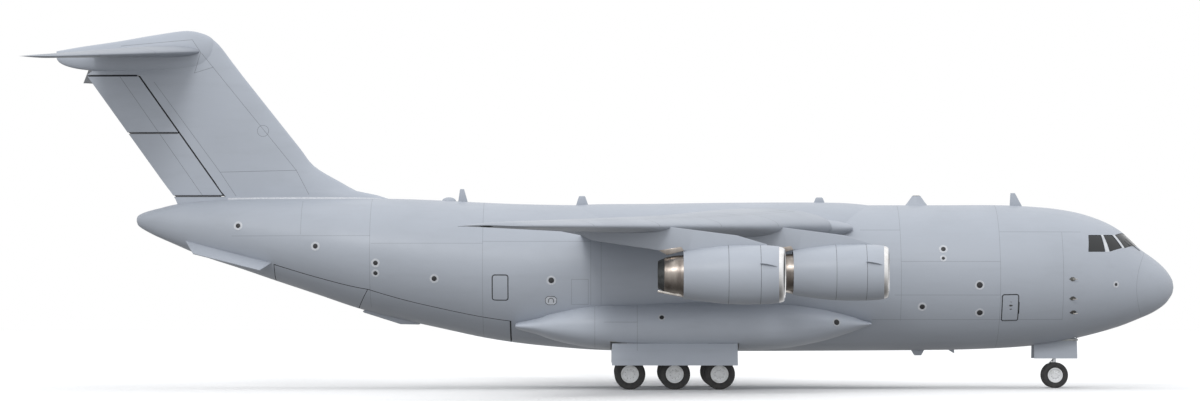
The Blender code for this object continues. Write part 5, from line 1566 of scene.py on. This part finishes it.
def makeCore():
    outline = [(-a, r) for a, r in ((0.80, 0.10), *engine["core"], (2.10, 0.01))]
    core = giveFinish(spunPiece("core", outline, 72), heatMetal, nozzleMetal, ductPaintedShade)
    # the core ahead of the cowl's end and the boss are near black: painted shade inside the duct
    for face in core.data.polygons:
        reach, radius = -face.center.x, math.hypot(face.center.y, face.center.z)
        if reach > engine["nozzleFrom"] or (reach > 2.05 and radius < 0.28):
            face.material_index = 1
        elif reach < 1.97:
            face.material_index = 2
    outline = [(-a, r) for a, r in ((2.09, 0.004), (2.09, 0.19), *engine["plug"])]
    plug = giveFinish(spunPiece("plug", outline, 40), nozzleMetal)
    boss = giveFinish(rodPiece("boss", (-0.82, 0, 0), (-0.7253, 0, 0), 0.10, 32), ductPaintedShade)
    vanes = []
    for number in range(engine["vanes"]):
        vane = boxPiece("vane", (-0.86, -0.003, 0.10), (-0.785, 0.003, 0.452))
        vane.data.transform(Matrix.Rotation(2 * math.pi * number / engine["vanes"], 4, "X"))
        vanes.append(giveFinish(vane, fanMetal))
    beam = sidePrism("beam", [(-a, up) for a, up in engine["beam"]], -0.045, 0.09)
    giveFinish(bevelEdges(beam, 0.010, 3), beamMetal)
    wide = engine["wedgeHalf"]
    wedge = sidePrism("wedge", [(-a, up) for a, up in engine["wedge"]], -wide, 2 * wide)
    giveFinish(bevelEdges(wedge, 0.008), heatMetal, beamMetal)
    for face in wedge.data.polygons:
        if face.normal.z < -0.5 or face.center.z < 0.39:
            face.material_index = 1
    return joinPieces("engineCore", [core, plug, boss, beam, wedge, *vanes])


def makePylon(lip, y, z):
    half = engine["pylonHalf"]
    pylon = sidePrism("pylon", [(lip - a, z + up) for a, up in engine["pylon"]], y - half - 0.01,
        2 * half + 0.02)
    edge = [(share, half * smoothValue(engine["pylonPlan"], share, 1)) for share in spread(0.30, 4.2, 40)]
    plan = [Vector((lip - a, y + w, 1)) for a, w in edge]
    plan += [Vector((lip - a, y - w, 1)) for a, w in reversed(edge[1:])]
    keepWithin(pylon, prismPiece("plan", plan, (0, 0, 4)))
    bevelEdges(pylon, 0.022, 3, angle_limit=math.radians(50))
    carve(pylon, pylonCutter, keepCutter=True)
    # the pylon keeps clear of its cowl
    grown = [(-a, r + 0.0004) for a, r in sampled(engine["cowlOuter"], 0.0, engine["cowlLong"], 30)]
    cowlRoom = spunPiece("cowlRoom", [(0.001, 0.1), *grown, (-engine["cowlLong"] - 0.0003, 0.1)], 96)
    carve(pylon, turnAbout(cowlRoom, lip, y, z))
    return giveFinish(tidyMesh(pylon), plainPaint)


def makeEngines():
    for place, span, lip, z in engine["places"]:
        cowl = turnAbout(makeCowl(), lip, -span, z)
        core = turnAbout(makeCore(), lip, -span, z)
        pylon = makePylon(lip, -span, z)
        cowl = joinPieces("cowl", [cowl] + [strakelet(lip, -span, z, side) for side in (-1, 1)])
        for piece, word, slot in ((cowl, "nacelle", "grey_paint"), (core, "engine", "engine_metal"),
                (pylon, "pylon", "grey_paint")):
            piece.name = f"{word}{place.title()}Right"
            finishBothSides(piece, f"{word}{place.title()}Left", f"{word}_{place}", slot)
        for side, word in ((-1, "right"), (1, "left")):
            makeFan(f"fan{place.title()}{word.title()}", f"fan_{place}_{word}", lip, side * span, z)
        print(place, "engines made")
    bpy.data.objects.remove(pylonCutter)


makeEngines()

# Flight deck and hold

cabin = {
    # x, z of the flight deck's floor, and x, y, z of what stands on it
    "floor": ((8.95, 10.80), (2.30, 2.35)), "seats": (-0.36, 0.36), "seatX": (9.68, 9.98),
    "back": (9.63, 9.71),
    "panel": ((10.45, 10.60), (-0.62, 0.62), (2.34, 2.74)), "console": ((10.20, 10.50), (2.34, 2.55)),
    # x and top z of the hold's floor, y of its roller trays
    "hold": ((-2.0897, 8.0), 1.25), "tracks": (-0.62, -0.22, 0.22, 0.62),
}


def makeFlightDeck():
    (x0, x1), (z0, z1) = cabin["floor"]
    inside = hullTube("insideHull", 8.2, hull["seams"]["radome"], hull["wall"] + 0.0005, capped=True)
    floor = boxPiece("deckFloor", (x0, -1.4, z0), (x1, 1.4, z1))
    carve(floor, inside, "INTERSECT", keepCutter=True)
    pieces = [giveFinish(floor, cabinGrey)]
    (px0, px1), (py0, py1), (pz0, pz1) = cabin["panel"]
    panel = boxPiece("panel", (px0, py0, pz0), (px1, py1, pz1), 0.02)
    pieces.append(giveFinish(panel, cabinGrey))
    shade = sidePrism("glareShield", ((px0 - 0.06, pz1 - 0.02), (px1, pz1 - 0.01), (px1, pz1 + 0.015),
        (px0 - 0.06, pz1 + 0.012)), py0 - 0.03, py1 - py0 + 0.06)
    pieces.append(giveFinish(bevelEdges(shade, 0.008), blackTrim))
    for y in spread(py0 + 0.12, py1 - 0.12, 6):
        screen = boxPiece("screen", (px0 - 0.006, y - 0.075, 2.53), (px0 + 0.01, y + 0.075, 2.68), 0.004)
        pieces.append(giveFinish(screen, darkGlass))
    (cx0, cx1), (cz0, cz1) = cabin["console"]
    pieces.append(giveFinish(boxPiece("console", (cx0, -0.10, cz0), (cx1, 0.10, cz1), 0.012), cabinGrey))
    for i in range(4):
        pieces.append(tubeAt((cx0 + 0.10, -0.05 + 0.033 * i, cz1),
            (cx0 + 0.08, -0.05 + 0.033 * i, cz1 + 0.05), 0.005, blackTrim, 8, 0.001))
    for y in cabin["seats"]:
        (sx0, sx1), (bx0, bx1) = cabin["seatX"], cabin["back"]
        # x from and to, half width, z from and to, finish and rounding of base, cushion, back and head rest
        for rear, front, half, low, high, finish, soft in (
                (sx0 + 0.05, sx1 - 0.05, 0.05, 2.345, 2.45, cabinGrey, 0.008),
                (sx0, sx1, 0.135, 2.45, 2.56, seatCloth, 0.030),
                (bx0, bx1, 0.130, 2.48, 2.78, seatCloth, 0.028),
                (bx0 + 0.01, bx1 - 0.01, 0.075, 2.775, 2.86, seatCloth, 0.024)):
            block = boxPiece("seatPart", (rear, y - half, low), (front, y + half, high), soft)
            pieces.append(giveFinish(block, finish))
        for side in (-1, 1):
            out = y + side * 0.15
            rest = boxPiece("armRest", (sx0, out - 0.014, 2.60), (sx1 - 0.05, out + 0.014, 2.625), 0.008)
            pieces.append(giveFinish(rest, cabinGrey))
        pieces.append(tubeAt((px0 - 0.10, y, 2.36), (px0 - 0.16, y, 2.60), 0.009, blackTrim, 12, 0.002))
    deck = joinPieces("flightDeck", pieces)
    finishPiece(deck, "airframe", "dark_interior", ["cockpit_interior"])
    bpy.data.objects.remove(inside)


def makeHold():
    (x0, x1), level = cabin["hold"]
    floor = boxPiece("holdFloor", (x0, -1.4, level - 0.06), (x1, 1.4, level))
    keepWithin(floor, hullTube("insideHull", -3.6, 8.96, hull["wall"] + 0.0003, capped=True))
    parts = [giveFinish(floor, floorMetal)]
    for y in cabin["tracks"]:
        # a shallow roller tray let into the floor
        tray = boxPiece("tray", (x0 + 0.05, y - 0.035, level - 0.012), (x1 - 0.10, y + 0.035, level + 0.01))
        carve(parts[0], tray)
        for x in spread(x0 + 0.10, x1 - 0.20, 70):
            parts.append(tubeAt((x, y - 0.030, level - 0.0075), (x, y + 0.030, level - 0.0075), 0.006,
                gearSteel, 8, 0))
    finishPiece(joinPieces("holdDeck", parts), "airframe", "dark_interior", ["cargo_floor"])
    # frames along the hold's walls, seen through the open ramp
    frames = []
    for x in spread(-1.95, 7.75, 15):
        ring = hullBand("holdFrame", x - 0.012, x + 0.012, hull["wall"] - 0.002, 0.035)
        keepWithin(ring, boxPiece("above", (x - 0.1, -2, level + 0.15), (x + 0.1, 2, 5)))
        frames.append(giveFinish(ring, lining))
    finishPiece(joinPieces("holdFrames", frames))


makeFlightDeck()
makeHold()
print("inside made")

# Small things on the skin

fittings = {
    # x, z, radius of the pale rim, radius of the dark middle
    "sensors": ((-7.782, 3.381, 0.095, 0.050), (-6.148, 2.952, 0.095, 0.052), (-4.894, 2.603, 0.092, 0.050),
        (-4.897, 2.393, 0.085, 0.046), (-3.680, 2.281, 0.095, 0.054), (-1.267, 2.244, 0.098, 0.060),
        (6.379, 1.700, 0.095, 0.056), (6.815, 2.889, 0.090, 0.050), (6.810, 2.699, 0.070, 0.034),
        (7.553, 2.147, 0.100, 0.064), (7.570, 1.578, 0.098, 0.062), (10.420, 2.161, 0.070, 0.032)),
    # x, z of the plates that carry a probe
    "probes": ((9.487, 2.271), (9.495, 1.873), (9.519, 1.588)),
    "probePlate": (0.078, 0.042),
    # side views of the blades on crown and belly: x, z of each corner, half thickness
    "blades": (
        (((-3.241, 3.873), (-3.031, 3.873), (-3.115, 4.167), (-3.199, 4.167)), 0.016),
        (((-0.778, 3.79), (-0.495, 3.79), (-0.578, 4.02), (-0.704, 4.02)), 0.022),
        (((4.201, 3.84), (4.463, 3.84), (4.400, 3.991), (4.264, 3.991)), 0.030),
        (((8.323, 3.78), (8.604, 3.77), (8.436, 4.083), (8.342, 4.083)), 0.016),
        (((6.235, 0.82), (6.319, 0.681), (6.465, 0.681), (6.541, 0.82)), 0.022),
        (((6.979, 0.83), (7.136, 0.733), (7.160, 0.733), (7.149, 0.83)), 0.012),
    ),
    # middle x, z of the foot, half length, half width, height of the round covers on the crown
    "domes": ((-3.43, 3.89, 0.150, 0.110, 0.105),),
    # height, share of the half length 0.26 and of the half width 0.16 of the tall cover
    "cover": ((3.74, 1.12), (3.795, 1.0), (3.81, 0.93), (3.90, 0.66), (3.96, 0.50), (3.995, 0.40),
        (4.018, 0.34), (4.029, 0.24)),
    "coverSpot": (6.367, 0.262, 0.165),
    "recess": (-1.274, 1.828, 0.110, 0.085), "hatchMarks": 8.207, "doorHandle": (8.50, 2.06),
    # x, radius of the lamps at the wing tips, and y of the wicks behind them
    "lamp": ((-2.42, 0.004), (-2.36, 0.020), (-2.24, 0.024), (-2.16, 0.004)), "wickY": 12.2,
}


def ontoSkin(piece, x, z, side, pointAt=skinPoint):
    # a piece made about the origin, facing +X, is laid on a skin
    normal = skinNormal(x, z, side, pointAt)
    forward = (Vector((1, 0, 0)) - normal * normal.x).normalized()
    up = normal.cross(forward)
    turn = Matrix((normal, forward, up)).transposed().to_4x4()
    piece.data.transform(Matrix.Translation(pointAt(x, z, side)) @ turn)
    if turn.determinant() < 0:
        piece.data.flip_normals()
    return piece


def plateOn(corners, long, high, thick, x, z, side, finish, deep=0.01):
    # a plate let into the skin: its corners are shares of its half length and half height
    plate = prismPiece("plate", [Vector((-deep, a * long, b * high)) for a, b in corners], (thick, 0, 0))
    return giveFinish(ontoSkin(plate, x, z, side), finish)


def hexagon(flat):
    return ((-1, 0), (-flat, -1), (flat, -1), (1, 0), (flat, 1), (-flat, 1))


octagon = ((-1, -0.5), (-0.6, -1), (0.6, -1), (1, -0.5), (1, 0.5), (0.6, 1), (-0.6, 1), (-1, 0.5))


def makeSensors():
    parts = []
    for side in (-1, 1):
        spots = [(*row, skinPoint) for row in fittings["sensors"]]
        spots += [(*row, sponsonPoint) for row in sponson["sensors"]]
        for x, z, rim, middle, pointAt in spots:
            # the pale rim round each dark middle is a painted highlight of the raised blister
            ring = spunPiece("rim", [(-0.02, middle), (0.002, middle), (0.004, middle + 0.006),
                (0.004, rim * 0.7), (0.0012, rim), (-0.02, rim)], 40)
            parts.append(giveFinish(ontoSkin(ring, x, z, side, pointAt), sensorRim))
            lens = spunPiece("lens", [(-0.02, 0.0005), (0.010, 0.0005), (0.0085, middle * 0.5),
                (0.002, middle * 0.98), (-0.02, middle * 0.98)], 32)
            parts.append(giveFinish(ontoSkin(lens, x, z, side, pointAt), blackTrim))
        for x, z in fittings["probes"]:
            parts.append(plateOn(hexagon(0.3), *fittings["probePlate"], 0.013, x, z, side, probeMetal))
            tube = joinPieces("probe", [rodPiece("stem", (0, 0, 0), (0.062, 0.018, 0), 0.007, 12),
                rodPiece("tube", (0.062, -0.02, 0), (0.062, 0.085, 0), 0.0075, 12, 0.002)])
            parts.append(giveFinish(ontoSkin(tube, x, z, side), beamMetal))
    x, z, long, high = fittings["recess"]
    turns = spread(0, math.pi, 13)
    bow = [(0.060 * math.cos(t), 0.060 * math.sin(t)) for t in turns]
    bow += [(-0.060, -0.045), (-0.046, -0.045)]
    bow += [(0.046 * math.cos(t), 0.046 * math.sin(t)) for t in reversed(turns)]
    bow += [(0.046, -0.045), (0.060, -0.045)]
    for side in (-1, 1):
        for grow, thick, finish in ((0.010, 0.0215, rimRubber), (0.0, 0.0225, sensorRim)):
            parts.append(plateOn(octagon, long + grow, high + grow, thick, x, z, side, finish, 0.02))
        arch = prismPiece("arch", [Vector((-0.02, a, b)) for a, b in bow], (0.0245, 0, 0))
        parts.append(giveFinish(ontoSkin(arch, x, z, side), rimRubber))
    finishPiece(joinPieces("skinSensors", parts))


def makeAntennas():
    parts = []
    for corners, half in fittings["blades"]:
        blade = sidePrism("blade", corners, -half, 2 * half)
        bevelEdges(blade, half * 0.75, 3, angle_limit=math.radians(40))
        parts.append(giveFinish(blade, plainPaint))
    for x, z, long, wide, high in fittings["domes"]:
        dome = wrapGrid("dome", spread(-math.pi / 2, math.pi / 2, 21), 32, lambda phase, turn: Vector(
            (x + long * math.sin(phase), wide * math.cos(phase) ** 0.8 * math.cos(turn),
             z + (high if math.sin(turn) > 0 else 0.05) * math.cos(phase) ** 0.8 * math.sin(turn))))
        parts.append(giveFinish(dome, plainPaint))
    x, long, wide = fittings["coverSpot"]
    rows = fittings["cover"]

    def coverPoint(z, turn):
        share = straightValue(rows, z, 1)
        return Vector((x + long * share * math.cos(turn), wide * share * math.sin(turn), z))
    cover = wrapGrid("tallCover", [row[0] for row in rows], 40, coverPoint)
    giveFinish(cover, plainPaint, blackTrim)
    for face in cover.data.polygons:
        if face.center.z > 4.012:
            face.material_index = 1
    parts.append(cover)
    finishPiece(joinPieces("antennas", parts))


def makeDoorFurniture():
    # small plates on the forward hatch, the crew door's handle, and the wipers
    x, side = fittings["hatchMarks"], -1
    parts = []
    for z, long, high in ((1.800, 0.010, 0.010), (1.726, 0.042, 0.017), (1.652, 0.028, 0.009)):
        parts.append(plateOn(hexagon(0.4), long, high, 0.013, x, z, side, probeMetal))
    finishPiece(joinPieces("forwardHatchMarks", parts), "forward_hatch", "grey_paint")
    x, z = fittings["doorHandle"]
    dish = spunPiece("dish", [(-0.02, 0.045), (0.0025, 0.045), (0.0025, 0.055), (-0.02, 0.055)], 28)
    bar = boxPiece("bar", (-0.01, -0.042, -0.009), (0.004, 0.042, 0.009), 0.002)
    parts = [giveFinish(ontoSkin(dish, x, z, 1), rimRubber), giveFinish(ontoSkin(bar, x, z, 1), gearSteel)]
    finishPiece(joinPieces("crewDoorHandle", parts), "crew_door", "grey_paint")
    parts = []
    for side in (-1, 1):
        base, tip = skinPoint(11.0, 2.87, side), skinPoint(10.76, 3.02, side)
        lift = Vector((0.5, side * 0.2, 0.8)).normalized() * 0.022
        parts.append(tubeAt(base + lift * 0.2, tip + lift, 0.006, blackTrim, 10, 0.001))
        parts.append(tubeAt(tip + lift + Vector((0.10, 0, -0.085)), tip + lift + Vector((-0.08, 0, 0.07)),
            0.005, blackTrim, 8, 0.001))
    finishPiece(joinPieces("wipers", parts))


def makeLamps():
    # a position lamp and a wick at each wing tip
    parts = []
    tipY, wickY = wing["sections"][-1][0], fittings["wickY"]
    for side in (-1, 1):
        lamp = roundBody("lamp", fittings["lamp"], 16, 16, lambda x, values, turn: Vector(
            (x, side * (tipY - 0.030 + values[0] * math.cos(turn)), 3.164 + values[0] * math.sin(turn))))
        parts.append(giveFinish(lamp, darkGlass))
        x, z = chordX(wickY, 1.0), wingRow(wickY)[3]
        parts.append(tubeAt((x + 0.01, side * wickY, z), (x - 0.12, side * wickY, z), 0.003, blackTrim, 8, 0))
    finishPiece(joinPieces("tipLamps", parts))


makeSensors()
makeAntennas()
makeDoorFurniture()
makeLamps()
bpy.data.objects.remove(wholeHull)
print("fittings made")

# Stage, light and camera

view = {
    "distance": 84.4, "eyeX": -0.264, "eyeZ": 1.84, "pitch": 1.416,
    # the lens in pixels of the photo's width
    "focalPixels": 4026, "frameWidth": 1200,
}


def addCamera():
    deselectAll()
    bpy.ops.object.camera_add(location=(view["eyeX"], -view["distance"], view["eyeZ"]),
        rotation=(math.radians(90 + view["pitch"]), 0, 0))
    camera = bpy.context.object
    camera.data.sensor_width = 36
    camera.data.lens = 36 * view["focalPixels"] / view["frameWidth"]
    camera.data.clip_end = 600
    bpy.context.scene.camera = camera


studio = {
    "floorHalf": 150, "floorColor": (0.88, 0.88, 0.88), "backdrop": 1.0,
    # light from straight up, from the horizon and from below
    "sky": ((1.30, 1.314, 1.337), (0.80, 0.807, 0.819), (0.11, 0.108, 0.106)),
    "key": 0.75, "keyTurn": (56, 0, -14), "keyAngle": 15,
}


def addSky():
    # a soft sky that lights from above, behind a white backdrop for the camera
    world = bpy.data.worlds.new("studioWorld")
    bpy.context.scene.world = world
    world.use_nodes = True
    tree = world.node_tree
    sky = tree.nodes["Background"]
    spots = addNode(tree, "ShaderNodeTexCoord")
    parts = addNode(tree, "ShaderNodeSeparateXYZ", [(0, spots.outputs["Generated"])])
    top, middle, bottom = studio["sky"]
    lower = mixColors(tree, remap(tree, parts.outputs[2], 0.0, -1.0), middle, bottom)
    upper = mixColors(tree, remap(tree, parts.outputs[2], 0.0, 1.0), lower, top)
    rays = addNode(tree, "ShaderNodeLightPath")
    shown = mixColors(tree, rays.outputs["Is Camera Ray"], upper, (studio["backdrop"],) * 3)
    tree.links.new(shown, sky.inputs["Color"])


def addStudio():
    deselectAll()
    bpy.ops.mesh.primitive_plane_add(size=2 * studio["floorHalf"])
    floor = bpy.context.object
    floor.name = "studioFloor"
    giveFinish(floor, newMaterial("studioFloorPaint", studio["floorColor"], 0.9))
    # the floor throws no light back, so that undersides stay dark
    floor.visible_diffuse = False
    floor.visible_glossy = False
    addSky()
    bpy.ops.object.light_add(type="SUN", rotation=[math.radians(v) for v in studio["keyTurn"]])
    light = bpy.context.object
    light.name = "keyLight"
    light.data.energy = studio["key"]
    light.data.angle = math.radians(studio["keyAngle"])
    bpy.context.scene.view_settings.view_transform = "Standard"


addCamera()
addStudio()
print("stage set")
